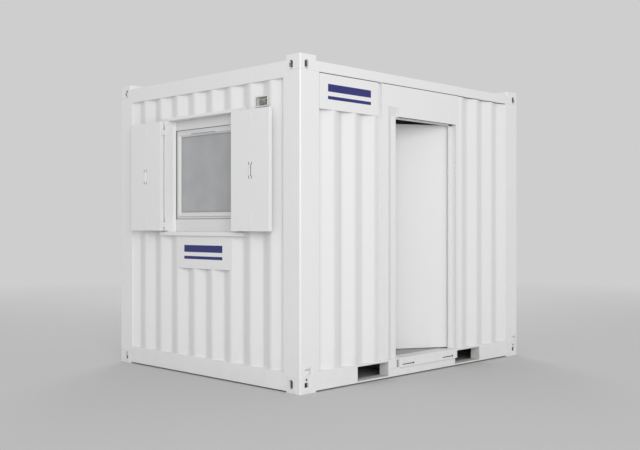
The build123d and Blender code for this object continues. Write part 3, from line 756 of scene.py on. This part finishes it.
# Weld beads along the bottom and top of the walls
bead_radius = 0.0025
side_walls = ((on_front, front_left_run), (on_front, front_right_run), (on_back, back_run))
end_walls = ((on_blind_end, end_run), (on_window_end, end_run))
beads = []
for walls, top in ((side_walls, side_rail_underside), (end_walls, end_rail_underside)):
    for at, run in walls:
        for level in (rail_top, top):
            beads.append([at(place, level, depth) for place, depth in run])
rod("wall_beads", beads, bead_radius)

# Dark strips under the side top rails, painted as the shadow line under the rails, and the seam between
# two sheets of the front wall
shade_line_height = 0.006
shade_line_level = side_rail_underside - shade_line_height / 2
rail_shade_runs = [[at(place, shade_line_level, depth) for place, depth in run] for at, run in side_walls]
rod("rail_shade_line", rail_shade_runs, shade_line_height / 2, "dark_seal_and_shade")
shade_line_and_seal_levels = (side_rail_underside - shade_line_height, side_rail_underside)
thin_rise = 0.0004
over_door_shade_lines = (
    ((strip_start, opening_end + jamb), shade_line_and_seal_levels, (-thin_rise, 0.003)),
    (front_sign_places, shade_line_and_seal_levels, (sign_depths[0] - thin_rise, crest_depth)),
)
blocks("rail_shade_line_over_door", "dark_seal_and_shade", on_front, over_door_shade_lines, 0.0002, 1)
joint_place = 0.468
joint_radius = 0.0012
joint_depth = sheet_depth(joint_place, front_first_crest_end, front_pitch)
joint_line = [on_front(joint_place, level, joint_depth) for level in (rail_top, front_sign_levels[0])]
rod("sheet_joint", [joint_line], joint_radius, "grey_seal_and_shade")

# Castings: a round hole with its plug between two bridges on each long side
bolt_level = 0.1085
bolt_inset = 0.068
bolt_radius = 0.0090
bolt_base = 0.012
cut_length = 0.03
plug_length = 0.0112
bridge_half = 0.024
bridge_levels = ((0.029, 0.047), (0.084, 0.0985))
bridge_depths = (0.004, 0.016)
surface_slack = 0.001
holes = bmesh.new()
plugs = bmesh.new()
bridges = bmesh.new()
for at in (on_front, on_back):
    outward = at(0, 0, 0) - at(0, 0, 1)
    for place in within((0, length), bolt_inset):
        base = at(place, bolt_level, bolt_base)
        turned(holes, base, outward, ((0, bolt_radius), (cut_length, bolt_radius)))
        turned(plugs, base, outward, ((0, bolt_radius), (plug_length, bolt_radius)))
        for levels in bridge_levels:
            block(bridges, at, about(place, bridge_half), levels, bridge_depths, 0.002)
bottom_castings = softened("bottom_corner_castings", "white_castings", 0.0015, cutter=holes)
top_castings = softened("top_corner_castings", "white_castings", 0.0015)
side_limit = casting_side_wall - surface_slack
face_limit = casting_face_wall - surface_slack
# Faces deep inside the castings' cavities take the darker finish, which paints the shade in the hollows
for castings in (bottom_castings, top_castings):
    castings.data.materials.append(finishes["casting_cavity_shade"])
    for polygon in castings.data.polygons:
        from_end = blind_end_x - abs(polygon.center.x)
        from_side = back_y - abs(polygon.center.y)
        from_face = min(polygon.center.z, height - polygon.center.z)
        past_outer = min(from_end, from_side) > side_limit and from_face > face_limit
        inner_end = casting_length - from_end > side_limit
        inner_side = casting_width - from_side > side_limit
        inner_face = casting_height - from_face > face_limit
        if past_outer and inner_end and inner_side and inner_face:
            polygon.material_index = 1
piece("casting_bridges", bridges, "white_castings")
piece("casting_plugs", plugs, "dark_seal_and_shade")

# Welds that fill the rounded corners of the castings where the rails meet them
weld_half = 0.0115
weld_gap = 0.0005
weld_depth = 0.012
weld_depths = (thin_rise, weld_depth)
bottom_levels = (0.0125, casting_height - weld_gap)
top_levels = (height - casting_height + weld_gap, height - 0.0405)
bm = bmesh.new()
for at, across, inset in (
    (on_front, length, casting_length),
    (on_back, length, casting_length),
    (on_window_end, width, casting_width),
    (on_blind_end, width, casting_width),
):
    for place in within((0, across), inset):
        for levels in (bottom_levels, top_levels):
            block(bm, at, about(place, weld_half), levels, weld_depths, 0.0003, 1)
piece("casting_welds", bm, "white_paint")

# Posts, rails, pockets and cross members
for part in ("corner_posts", "bottom_side_rails", "bottom_end_rails", "top_side_rails", "top_end_rails"):
    softened(part, "white_paint", 0.0015)
softened("forklift_pockets", "primer_steel", 0.001)
# The cross members' dark finish is underseal and also painted shade under the floor
softened("floor_cross_members", "underseal_and_shade", 0.002)

# Roof panel with pressed ribs
roof_places = (window_end_x + rail_depth, blind_end_x - rail_depth)
roof_sides = (front_y + rail_depth, back_y - rail_depth)
roof_thickness = 0.045
roof_top = side_rail_underside + roof_thickness
rib_height = 0.020
rib_pitch = 0.208
rib_base = 0.155
rib_crown = 0.055
rib_end_slope = 0.050
rib_margin = 0.070
rib_end_margin = 0.030
rib_rounding = 0.012
rib_root = 0.002
corner_x = window_end_x + casting_length
corner_y = front_y + casting_width
roof_plan = []
for x_sign, y_sign, x_first in ((-1, -1, True), (1, -1, False), (1, 1, True), (-1, 1, False)):
    outer_x, outer_y = x_sign * roof_places[1], y_sign * roof_sides[1]
    inner_x, inner_y = -x_sign * corner_x, -y_sign * corner_y
    run = [(outer_x, inner_y), (inner_x, inner_y), (inner_x, outer_y)]
    roof_plan += run if x_first else run[::-1]
bm = bmesh.new()
upright(bm, roof_plan, (side_rail_underside, roof_top))
rib_start = roof_places[0] + rib_margin
while rib_start + rib_base + rib_margin <= roof_places[1]:
    middle = rib_start + rib_base / 2
    near_corner = rib_start < corner_x or rib_start + rib_base > -corner_x
    reach = (-corner_y if near_corner else roof_sides[1]) - rib_end_margin
    rings = []
    for half, end, level in (
        (rib_base / 2, reach, roof_top - rib_root),
        (rib_base / 2, reach, roof_top),
        (rib_crown / 2, reach - rib_end_slope, roof_top + rib_height),
    ):
        corners = ((-half, -end), (half, -end), (half, end), (-half, end))
        rings.append([bm.verts.new((middle + x, y, level)) for x, y in corners])
    slopes = solid(bm, rings)[-4:]
    bends = {edge for face in slopes for edge in face.edges}
    bends = [edge for edge in bends if max(corner.co.z for corner in edge.verts) > roof_top + 0.001]
    bmesh.ops.bevel(bm, geom=bends, offset=rib_rounding, segments=3, profile=0.5, affect="EDGES")
    rib_start += rib_pitch
piece("ribbed_roof", bm, "white_paint", stands_for=("roof_panel",), crease=30)

# Door frame: the panel over the door with the right jamb, the left jamb, and the stops
panel_outline = [
    (strip_end, recess_top),
    (opening_start, recess_top),
    (opening_start, door_head),
    (opening_end, door_head),
    (opening_end, rail_top),
    (opening_end + jamb, rail_top),
    (opening_end + jamb, side_rail_underside),
    (strip_end, side_rail_underside),
]
bm = bmesh.new()
plate(bm, on_front, panel_outline, (0, wall_depth), 0.002)
piece("over_door_panel", bm, "white_paint", stands_for=("front_wall_over_door",))

bm = bmesh.new()
jamb_places = (opening_start - jamb, opening_start)
block(bm, on_front, jamb_places, (rail_top, recess_top), (valley_depth, wall_depth), 0.002)
stop_gap = 0.005
stop_levels = (rail_top + stop_gap, door_head)
block(bm, on_front, (opening_start, opening_start + stop_projection), stop_levels, stop_depths)
block(bm, on_front, (opening_end - hinge_stop_projection, opening_end), stop_levels, stop_depths)
block(bm, on_front, opening, (door_head - stop_projection, door_head), stop_depths)
piece("door_jambs_and_stops", bm, "white_paint", stands_for=("door_frame",))

# Seal on the stops, and a dark strip under the panel over the door, painted as the shade of the panel's
# underside
seal_near = 0.002
seal_far = 0.011
seal_thickness = 0.003
seal_rise = 0.012
seal_and_shade_depths = (stop_depths[1], stop_depths[1] + seal_thickness)
shade_line_and_seal_levels = (rail_top + seal_rise, door_head - seal_near)
door_seals = (
    ((opening_start + seal_near, opening_start + seal_far), shade_line_and_seal_levels, seal_and_shade_depths),
    ((opening_end - seal_far, opening_end - seal_near), shade_line_and_seal_levels, seal_and_shade_depths),
    (within(opening, seal_far), (door_head - seal_far, door_head - seal_near), seal_and_shade_depths),
)
blocks("door_seal", "grey_seal_and_shade", on_front, door_seals, 0.001)
header_shade_levels = (door_head - 0.004, door_head + 0.001)
header_shade_depths = (0.002, 0.007)
blocks("header_shade_strip", "dark_seal_and_shade", on_front, [(opening, header_shade_levels, header_shade_depths)], 0.0005, 1)

# Sloped hood that closes the top of the recess beside the door
hood_drop = 0.070
hood_gap = 0.002
hood_section = ((0.0, recess_top), (valley_depth, recess_top - hood_drop), (valley_depth, recess_top))
bm = bmesh.new()
rings = []
for place in (strip_end + hood_gap, opening_start):
    rings.append([bm.verts.new(on_front(place, level, depth)) for depth, level in hood_section])
solid(bm, rings)
piece("recess_hood", bm, "white_paint", crease=50)

# Threshold with two slot cuts, whose dark backs paint the shade inside them, its bracket, and a grey strip
# that paints the shade of the gap beside the bracket
slot_level = 0.104
slot_half = 0.0045
slot_length = 0.150
slot_end_radius = 0.010
slot_ends = (1.345, 1.905)
slot_gap = 0.004
slot_floor = -0.011
slot_end_base = -0.006
slot_shade_depths = (-0.0135, -0.0105)
slot_shade_base = -0.0055
slot_shade_length = 0.006
holes = bmesh.new()
# Dark backs in the slot cuts, painted as the shade inside them
slot_shades = bmesh.new()
for end in slot_ends:
    slot_and_shadow_places = (end - slot_length, end - slot_gap)
    slot_levels = about(slot_level, slot_half)
    block(holes, on_front, slot_and_shadow_places, slot_levels, (-cut_length, slot_floor), 0)
    base = on_front(end, slot_level, slot_end_base)
    turned(holes, base, (0, -1, 0), ((0, slot_end_radius), (cut_length, slot_end_radius)))
    block(slot_shades, on_front, slot_and_shadow_places, slot_levels, slot_shade_depths, 0.0002, 1)
    base = on_front(end, slot_level, slot_shade_base)
    turned(slot_shades, base, (0, -1, 0), ((0, slot_end_radius), (slot_shade_length, slot_end_radius)))
softened("door_threshold", "white_paint", 0.002, cutter=holes)
piece("threshold_slot_shades", slot_shades, "dark_seal_and_shade")
bracket = ((1.052, 1.128), (0.082, 0.152), (-0.006, 0.001))
blocks("threshold_bracket", "white_paint", on_front, [bracket], 0.001)
# A grey strip flush on the wall, painted as the shade of the gap between the bracket and the threshold
gap_shade = ((1.134, 1.160), (0.084, 0.150), (-0.0006, 0.001))
blocks("threshold_gap_shade", "grey_seal_and_shade", on_front, [gap_shade], 0.0002, 1)

# Door leaf: two skins on a core that is set back a little at the edges
leaf_places = (leaf_reach, leaf_reach + leaf_width)
seam_inset = 0.0015
core_inset = 0.002
inner_skin = 0.021
seam_depth = leaf_inner + inner_skin
bm = bmesh.new()
core_places = within(leaf_places, seam_inset)
core_levels = within(leaf_levels, seam_inset)
core_depths = within((leaf_inner, leaf_outer), core_inset)
block(bm, on_leaf, core_places, core_levels, core_depths, 0.0005, 1)
block(bm, on_leaf, leaf_places, leaf_levels, (leaf_inner, seam_depth), 0.002)
block(bm, on_leaf, leaf_places, leaf_levels, (seam_depth + seam_inset, leaf_outer), 0.002)
piece("door_skins", bm, "white_paint", "door", ("door_leaf",))

softened("door_hinge_leaves", "zinc_hinges", 0.001, "door")
softened("door_hinge_pins", "zinc_hinges", 0.001)

# Door handles with their plates and lock cylinders
plate_half = 0.019
plate_thickness = 0.008
plate_drop = 0.147
plate_rise = 0.073
plate_levels = (handle_level - plate_drop, handle_level + plate_rise)
cylinder_drop = 0.085
cylinder_base_height = 0.006
neck = ((0, 0.013), (0.003, 0.013), (0.004, 0.010), (0.036, 0.010), (0.040, 0.009))
cylinder = ((0, 0.0085), (0.0045, 0.0085), (0.0052, 0.0078))
lever_bends = ((0, 0.030), (0, 0.044), (-0.006, 0.050), (-0.016, 0.052), (-0.060, 0.051))
lever_bends += ((-0.092, 0.049), (-0.102, 0.046), (-0.107, 0.040), (-0.108, 0.030))
lever_radius = 0.0085
lever_runs = []
bm = bmesh.new()
for face, side in ((leaf_outer, 1), (leaf_inner, -1)):
    depths = sorted((face, face + side * plate_thickness))
    block(bm, on_leaf, about(handle_place, plate_half), plate_levels, depths, 0.003, 3)
    base = on_leaf(handle_place, handle_level, face + side * plate_thickness)
    outward = on_leaf(0, 0, side) - on_leaf(0, 0, 0)
    turned(bm, base, outward, neck, 28)
    cylinder_base = on_leaf(handle_place, handle_level - cylinder_drop, face + side * cylinder_base_height)
    turned(bm, cylinder_base, outward, cylinder, 28)
    lever_runs.append(
        [on_leaf(handle_place + along, handle_level, face + side * away) for along, away in lever_bends]
    )
piece("handle_plates", bm, "handle_metal", "door", ("door_handles",))
rod("door_levers", lever_runs, lever_radius, "handle_metal", "door", 6)

# Lock: a face plate with its latch in the edge of the leaf, and a strike plate on the jamb
leaf_middle = (leaf_inner + leaf_outer) / 2
leaf_edge = leaf_places[1]
screw = ((0, 0.004), (0.0012, 0.0036), (0.0014, 0.002))
bm = bmesh.new()
face_plate = (leaf_edge - 0.002, leaf_edge + 0.0008)
block(bm, on_leaf, face_plate, plate_levels, about(leaf_middle, 0.010), 0.0004, 1)
latch = (leaf_edge, leaf_edge + 0.0025)
block(bm, on_leaf, latch, about(handle_level, 0.014), about(leaf_middle, 0.006), 0.001)
along = on_leaf(1, 0, 0) - on_leaf(0, 0, 0)
for level in within(plate_levels, 0.012):
    turned(bm, on_leaf(leaf_edge, level, leaf_middle), along, screw, 16)
piece("lock_face_plate", bm, "handle_metal", "door")
leaf_gap = 0.005
strike_middle = stop_depths[1] + leaf_gap + leaf_thickness / 2
strike_places = (opening_start - 0.001, opening_start + 0.0012)
strike_levels = (handle_level - 0.110, handle_level + 0.060)
bm = bmesh.new()
block(bm, on_front, strike_places, strike_levels, about(strike_middle, 0.011), 0.0004, 1)
holes = bmesh.new()
for low, high in ((-0.016, 0.016), (-0.080, -0.048)):
    levels = (handle_level + low, handle_level + high)
    block(holes, on_front, about(opening_start, 0.01), levels, about(strike_middle, 0.007), 0)
piece("strike_plate", bm, "handle_metal", cutter=holes)

# Window surround and infill strips
softened("window_surround", "white_paint", 0.0025)
softened("window_infill_strips", "white_plastic", 0.0015)

# Window frame and sash, with their moulded sections
frame_section = (
    (0, 0.098),
    (0.003, 0.095),
    (0.0195, 0.095),
    (0.0210, 0.0958),
    (0.022, 0.0975),
    (0.022, 0.149),
    (0.021, 0.150),
    (0.002, 0.150),
    (0, 0.148),
)
sash_inset = 0.0223
bead_inset = 0.0603
sash_section = (
    (sash_inset, 0.090),
    (sash_inset + 0.003, 0.087),
    (0.0435, 0.087),
    (0.0455, 0.0880),
    (0.0465, 0.0900),
    (0.0465, 0.0918),
    (0.0560, 0.1010),
    (0.0590, 0.1030),
    (bead_inset, 0.1050),
    (bead_inset, 0.1440),
    (0.0590, 0.1450),
    (sash_inset + 0.0015, 0.1450),
    (sash_inset, 0.1435),
)
for name, section, node_name in (
    ("window_frame_moulded", frame_section, "window_frame"),
    ("window_sash_moulded", sash_section, "window_sash"),
):
    frames(name, "white_plastic", window_places, frame_levels, [section], (node_name,), 35)

# Double glazing with its spacer and its seals
glass_places = within(window_places, bead_inset)
glass_levels = within(frame_levels, bead_inset)
pane = 0.004
glass_front, glass_back = glass_depths
pane_depths = ((glass_front, glass_front + pane), (glass_back - pane, glass_back))
panes = [(glass_places, glass_levels, depths) for depths in pane_depths]
blocks("window_panes", "window_glass", on_window_end, panes, 0.0005, 1, stands_for=("window_glass",))
near, far = within(glass_depths, pane)
spacer_section = ((0.001, near), (0.012, near), (0.012, far), (0.001, far))
frames("glass_spacer", "handle_metal", glass_places, glass_levels, [spacer_section])
seal_front = 0.1035
seal_back = 0.1335
seal_sections = [
    ((-0.001, near), (0.002, near), (0.004, far), (-0.001, far))
    for near, far in ((seal_front, glass_front), (glass_back, seal_back))
]
frames("glazing_seal", "grey_seal_and_shade", glass_places, glass_levels, seal_sections)

# Trickle vent on the sash with a grey strip that paints the shade of its slot, and strips above, below and
# beside the window frame that are seals and also paint the frame's shadow lines
vent_places = (1.112, 1.468)
vent_levels = (2.076, 2.094)
vent_depths = (0.083, 0.0875)
blocks("trickle_vent", "white_plastic", on_window_end, [(vent_places, vent_levels, vent_depths)])
vent_slot_levels = (2.080, 2.088)
# A grey strip painted as the shade inside the vent's slot
vent_slot_shade = (within(vent_places, 0.010), vent_slot_levels, (0.0822, 0.084))
blocks("vent_slot_shade", "grey_seal_and_shade", on_window_end, [vent_slot_shade], 0.0005, 1)
# Dark rubber strips round the window frame, each side given its own width to paint the frame's shadow line
# there
lower_seal_shade_half = 0.0040
upper_seal_shade_half = 0.0025
seal_and_shade_depths = (0.089, 0.0965)
bm = bmesh.new()
for level, half in zip(frame_levels, (lower_seal_shade_half, upper_seal_shade_half)):
    block(bm, on_window_end, window_places, about(level, half), seal_and_shade_depths, 0.0005, 1)
near_seal_shade = (window_places[0], window_places[0] + 0.0012)
far_seal_shade = (window_places[1] - 0.0025, window_places[1])
for places in (near_seal_shade, far_seal_shade):
    block(bm, on_window_end, places, frame_levels, seal_and_shade_depths, 0.0003, 1)
piece("window_seal_shade_lines", bm, "rubber_and_shade")

# Beads in the window reveal, and folded lips behind the hinge side of the shutters
bead_depths = (0.058, 0.083)
bead_rise = 0.009
bead_section = (
    (-0.001, bead_depths[0]),
    (0.001, bead_depths[0]),
    (bead_rise, bead_depths[1] - 0.004),
    (bead_rise, bead_depths[1]),
    (-0.001, bead_depths[1]),
)
bm = bmesh.new()
for edge, inward in ((window_places[0], 1), (window_places[1], -1)):
    outline = [on_window_end(edge + inward * rise, 0, depth).xy for rise, depth in bead_section]
    upright(bm, outline, window_levels)
piece("reveal_beads", bm, "white_paint")
lip_width = 0.016
lip_depths = (-0.0295, -0.0275)
lip_starts = (window_places[0] - 0.028, window_places[1] + 0.012)
lips = [((start, start + lip_width), shutter_levels, lip_depths) for start in lip_starts]
blocks("stile_lips", "white_paint", on_window_end, lips, 0.0005, 1)


def shutter(side, name):
    """A folded shutter leaf with its hem, hinges, bolt and latch fittings, and dark strips that paint the
    shadows beside the latch fittings.
    """
    at = on_shutter(side)
    body = name + "_shutter"
    face = shutter_half_thickness
    shutter_places = (shutter_start, shutter_end)
    bm = bmesh.new()
    block(bm, at, shutter_places, shutter_levels, (-face, face), 0.003, 3)
    hem = (shutter_levels[0] + 0.0005, shutter_levels[0] + 0.026)
    block(bm, at, within(shutter_places, 0.001), hem, (face - 0.003, face + 0.0015), 0.001)
    piece("shutter_leaf_" + name, bm, "white_paint", body, ("shutter_" + name,))
    softened("shutter_" + name + "_hinges", "zinc_hinges", 0.0012, body)

    latch_sink = face - 0.001
    latch_level = (shutter_levels[0] + shutter_levels[1]) / 2
    bracket_levels = about(latch_level, bracket_reach)
    rivet = ((0, 0.006), (0.003, 0.006), (0.005, 0.004), (0.0055, 0.001))
    away = at(0, 0, 1) - at(0, 0, 0)
    fittings = bmesh.new()
    for level in bracket_levels:
        bracket_depths = (latch_sink, face + bracket_thickness)
        block(fittings, at, about(latch_place, 0.012), about(level, 0.010), bracket_depths, 0.001)
        turned(fittings, at(latch_place, level, face + 0.002), away, rivet, 20)
    handle_places = (latch_place - 0.006, latch_place + 0.005)
    handle_depths = (latch_sink, face + latch_thickness)
    block(fittings, at, handle_places, about(latch_level, latch_half), handle_depths, 0.0025, 3)
    bottom, top = shutter_levels
    near, far = bolt_ends
    for levels in ((bottom + near, bottom + far), (top - far, top - near)):
        block(fittings, at, about(latch_place, 0.008), levels, (latch_sink, face + 0.002), 0.0008)
    piece("shutter_latch_" + name, fittings, "zinc_hinges", body)

    # Dark strips beside the latch handle and its brackets, painted as the shadows these fittings cast on
    # the leaf
    latch_shadow_depths = (face - 0.002, face + 0.0006)
    slot_and_shadow_places = (latch_place + 0.005, latch_place + 0.011)
    latch_shadows = [(slot_and_shadow_places, about(latch_level, latch_half + 0.001), latch_shadow_depths)]
    for level in bracket_levels:
        for place in about(latch_place, 0.017):
            latch_shadows.append((about(place, 0.003), about(level, 0.011), latch_shadow_depths))
    blocks("shutter_latch_shadows_" + name, "rubber_and_shade", at, latch_shadows, 0.0002, 1, body)


shutter(-1, "right")
shutter(1, "left")
softened("shutter_hinge_pins", "zinc_hinges", 0.0012)


def sign(name, at, places, levels, stands_for):
    """A plate with eased edges, four rivets and two plain stripes."""
    rivet = ((0, 0.0045), (0.0006, 0.0042), (0.0014, 0.0024), (0.0016, 0.0005))
    bm = bmesh.new()
    block(bm, at, places, levels, sign_depths, 0.0006, 1)
    away = at(0, 0, -1) - at(0, 0, 0)
    for place in within(places, rivet_inset):
        for level in within(levels, rivet_inset):
            turned(bm, at(place, level, sign_depths[0]), away, rivet, 16)
    piece(name, bm, "sign_sheet", stands_for=(stands_for,))
    stripe_places = within(places, stripe_inset)
    stripe_depths = (sign_depths[0] - 0.0003, sign_depths[0] + 0.001)
    middle = (levels[0] + levels[1]) / 2
    stripes = []
    for low, high in stripe_levels:
        stripes.append((stripe_places, (middle + low, middle + high), stripe_depths))
    blocks(name + "_stripes", "sign_blue", at, stripes, 0)


sign("front_sign", on_front, front_sign_places, front_sign_levels, "front_sign_plate")
sign("end_sign", on_window_end, end_sign_places, end_sign_levels, "end_sign_plate")

# Electrical inlet: a flanged box with two sockets
softened("electrical_inlet", "inlet_plastic", 0.001)
socket_inset = 0.034
socket_base = 0.044
socket_level = (inlet_levels[0] + inlet_levels[1]) / 2 - 0.004
socket_outline = ((0, 0.019), (0.020, 0.019), (0.021, 0.017), (0.008, 0.015), (0.006, 0.002))
bm = bmesh.new()
for place in within(inlet_places, socket_inset):
    turned(bm, on_window_end(place, socket_level, socket_base), (-1, 0, 0), socket_outline, 28)
piece("inlet_sockets", bm, "socket_plastic")
collar_section = (
    (-0.006, crest_depth),
    (-0.006, 0.004),
    (-0.005, 0.003),
    (0.001, 0.003),
    (0.003, 0.004),
    (0.003, 0.012),
    (0.001, 0.012),
    (0.001, crest_depth),
)
frames("inlet_collar", "trim_plastic", inlet_places, inlet_levels, [collar_section])

# Earthing lugs with their bolts, and grey strips across each lug and along its far end that paint shade
# lines
softened("earthing_lugs", "white_paint", 0.001)
lug_face = (-lug_thickness - thin_rise, -lug_thickness + 0.001)
head = ((0, 0.0125), (0.0015, 0.0125), (0.0016, 0.0100), (0.0070, 0.0100), (0.0080, 0.0090))
lug_shade_strips = []
bolts = bmesh.new()
for start in (lug_start, length - lug_start - lug_width):
    end = start + lug_width
    lug_shade_strips.append(((start + 0.004, end - 0.006), lug_shade_line_levels, lug_face))
    lug_shade_strips.append(((end - 0.005, end), lug_edge_shade_levels, lug_face))
    for level in lug_bolt_levels:
        turned(bolts, on_front(start + lug_width / 2, level, -lug_thickness), (0, -1, 0), head, 6)
blocks("lug_shade_lines", "grey_seal_and_shade", on_front, lug_shade_strips, 0.0002, 1)
piece("lug_bolts", bolts, "zinc_hinges")

# Inside: skirting, corner strips, cover strips round the doorway and the window
trim_sink = 0.001
room_start = lining_depth
room_end = length - lining_depth
room_far = width - lining_depth
frame_head = door_head + jamb
frame_places = (opening_start - jamb, opening_end + jamb)
skirting_height = 0.070
skirting_thickness = 0.010
skirting_levels = (floor_top, floor_top + skirting_height)
skirting_depths = (lining_depth - trim_sink, lining_depth + skirting_thickness)
casing = 0.050
casing_places = within(frame_places, -casing)
bm = bmesh.new()
for at, places in (
    (on_front, (room_start, casing_places[0])),
    (on_front, (casing_places[1], room_end)),
    (on_back, (room_start, room_end)),
    (on_window_end, within((room_start, room_far), skirting_thickness)),
    (on_blind_end, within((room_start, room_far), skirting_thickness)),
):
    block(bm, at, places, skirting_levels, skirting_depths, 0.003)
piece("skirting", bm, "trim_plastic")

bm = bmesh.new()
strip_flat = 0.003
strip_reach = 0.020
coving = 0.022
corner_levels = (skirting_levels[1], ceiling_underside)
coving_levels = (ceiling_underside - coving, ceiling_underside + 0.0005)
coving_depths = (lining_depth - trim_sink, lining_depth + coving)
flat_depths = (lining_depth - trim_sink, lining_depth + strip_flat)
edge_depths = (lining_depth + strip_flat, lining_depth + strip_reach)
for at in (on_front, on_back):
    start, end = room_start - trim_sink, room_end + trim_sink
    for places in ((start, room_start + strip_reach), (room_end - strip_reach, end)):
        block(bm, at, places, corner_levels, flat_depths, 0.001)
    for places in ((start, start + 0.004), (end - 0.004, end)):
        block(bm, at, places, corner_levels, edge_depths, 0.001)
    block(bm, at, (room_start, room_end), coving_levels, coving_depths, 0.006, 3)
for at in (on_window_end, on_blind_end):
    block(bm, at, within((room_start, room_far), coving), coving_levels, coving_depths, 0.006, 3)
piece("corner_trims", bm, "trim_plastic")

bm = bmesh.new()
casing_ease = 0.003
casing_depths = (lining_depth - trim_sink, lining_depth + 0.008)
for start in (casing_places[0], frame_places[1]):
    block(bm, on_front, (start, start + casing), (floor_top, frame_head), casing_depths, casing_ease)
block(bm, on_front, casing_places, (frame_head, frame_head + casing), casing_depths, casing_ease)
casing_section = (
    (-casing, casing_depths[0]),
    (-casing, casing_depths[1] - casing_ease),
    (casing_ease - casing, casing_depths[1]),
    (-casing_ease, casing_depths[1]),
    (0, casing_depths[1] - casing_ease),
    (0, casing_depths[0]),
)
swept_frame(bm, on_window_end, window_places, window_levels, casing_section)
piece("cover_strips", bm, "trim_plastic")

# Carried-over parts that need only their finish
carried = {"floor_deck": "plywood", "floor_covering": "floor_vinyl", "ceiling": "lining_board"}
carried.update({node_name: "lining_board" for node_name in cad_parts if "lining" in node_name})
for node_name, finish in carried.items():
    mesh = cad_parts[node_name].data
    mesh.materials.clear()
    mesh.materials.append(finishes[finish])

# Floor, light and camera
backdrop_tone = tone(206)
floor_near = 5.0
floor_far = 13.0
tree, surface = new_finish("studio_floor")
surface["Base Color"].default_value = tone(200)
surface["Roughness"].default_value = 0.9
surface["Specular IOR Level"].default_value = 0.1
distance = node(tree, "VectorMath", {0: object_place(tree)}, operation="LENGTH").outputs["Value"]
feed(tree, surface, {"Alpha": span(tree, distance, floor_near, floor_far, 1.0, 0.0)})
bm = bmesh.new()
bmesh.ops.create_circle(bm, cap_ends=True, segments=96, radius=floor_far)
studio_floor = as_object("studio_floor", bm)
studio_floor.data.materials.append(finishes["studio_floor"])

world = bpy.data.worlds.new("studio")
world.use_nodes = True
bpy.context.scene.world = world
tree = world.node_tree
seen = node(tree, "LightPath").outputs
direct = calculate(tree, "MAXIMUM", seen["Is Camera Ray"], seen["Is Glossy Ray"])
shown = calculate(tree, "MAXIMUM", direct, seen["Is Transmission Ray"])
light = node(tree, "Background", {"Color": tone(255), "Strength": 0.68})
backdrop = node(tree, "Background", {"Color": backdrop_tone, "Strength": 1.0})
mixed = node(tree, "MixShader", {0: shown, 1: light.outputs[0], 2: backdrop.outputs[0]})
tree.links.new(mixed.outputs[0], tree.nodes["World Output"].inputs["Surface"])


def lamp(name, position, aim, size, power):
    """A large soft lamp that looks at a point."""
    data = bpy.data.lights.new(name, "AREA")
    data.shape = "DISK"
    data.size = size
    data.energy = power
    made = in_scene(name, data)
    made.location = position
    made.rotation_euler = (Vector(aim) - Vector(position)).to_track_quat("-Z", "Y").to_euler()
    made.visible_camera = False


middle = (0, 0, 1.2)
lamp("key_light", (-9.2, -11.8, 4.1), middle, 8.5, 990)
lamp("back_light", (6.5, 7.0, 6.0), middle, 6.0, 260)

camera_data = bpy.data.cameras.new("camera")
camera_data.sensor_width = 36.0
camera_data.lens = 50.65
camera = in_scene("camera", camera_data)
camera.location = (-6.229, -6.107, 1.287)
camera.rotation_euler = Vector((0.7113, 0.7029, 0)).to_track_quat("-Z", "Y").to_euler()
bpy.context.scene.camera = camera
bpy.context.scene.view_settings.view_transform = "Standard"
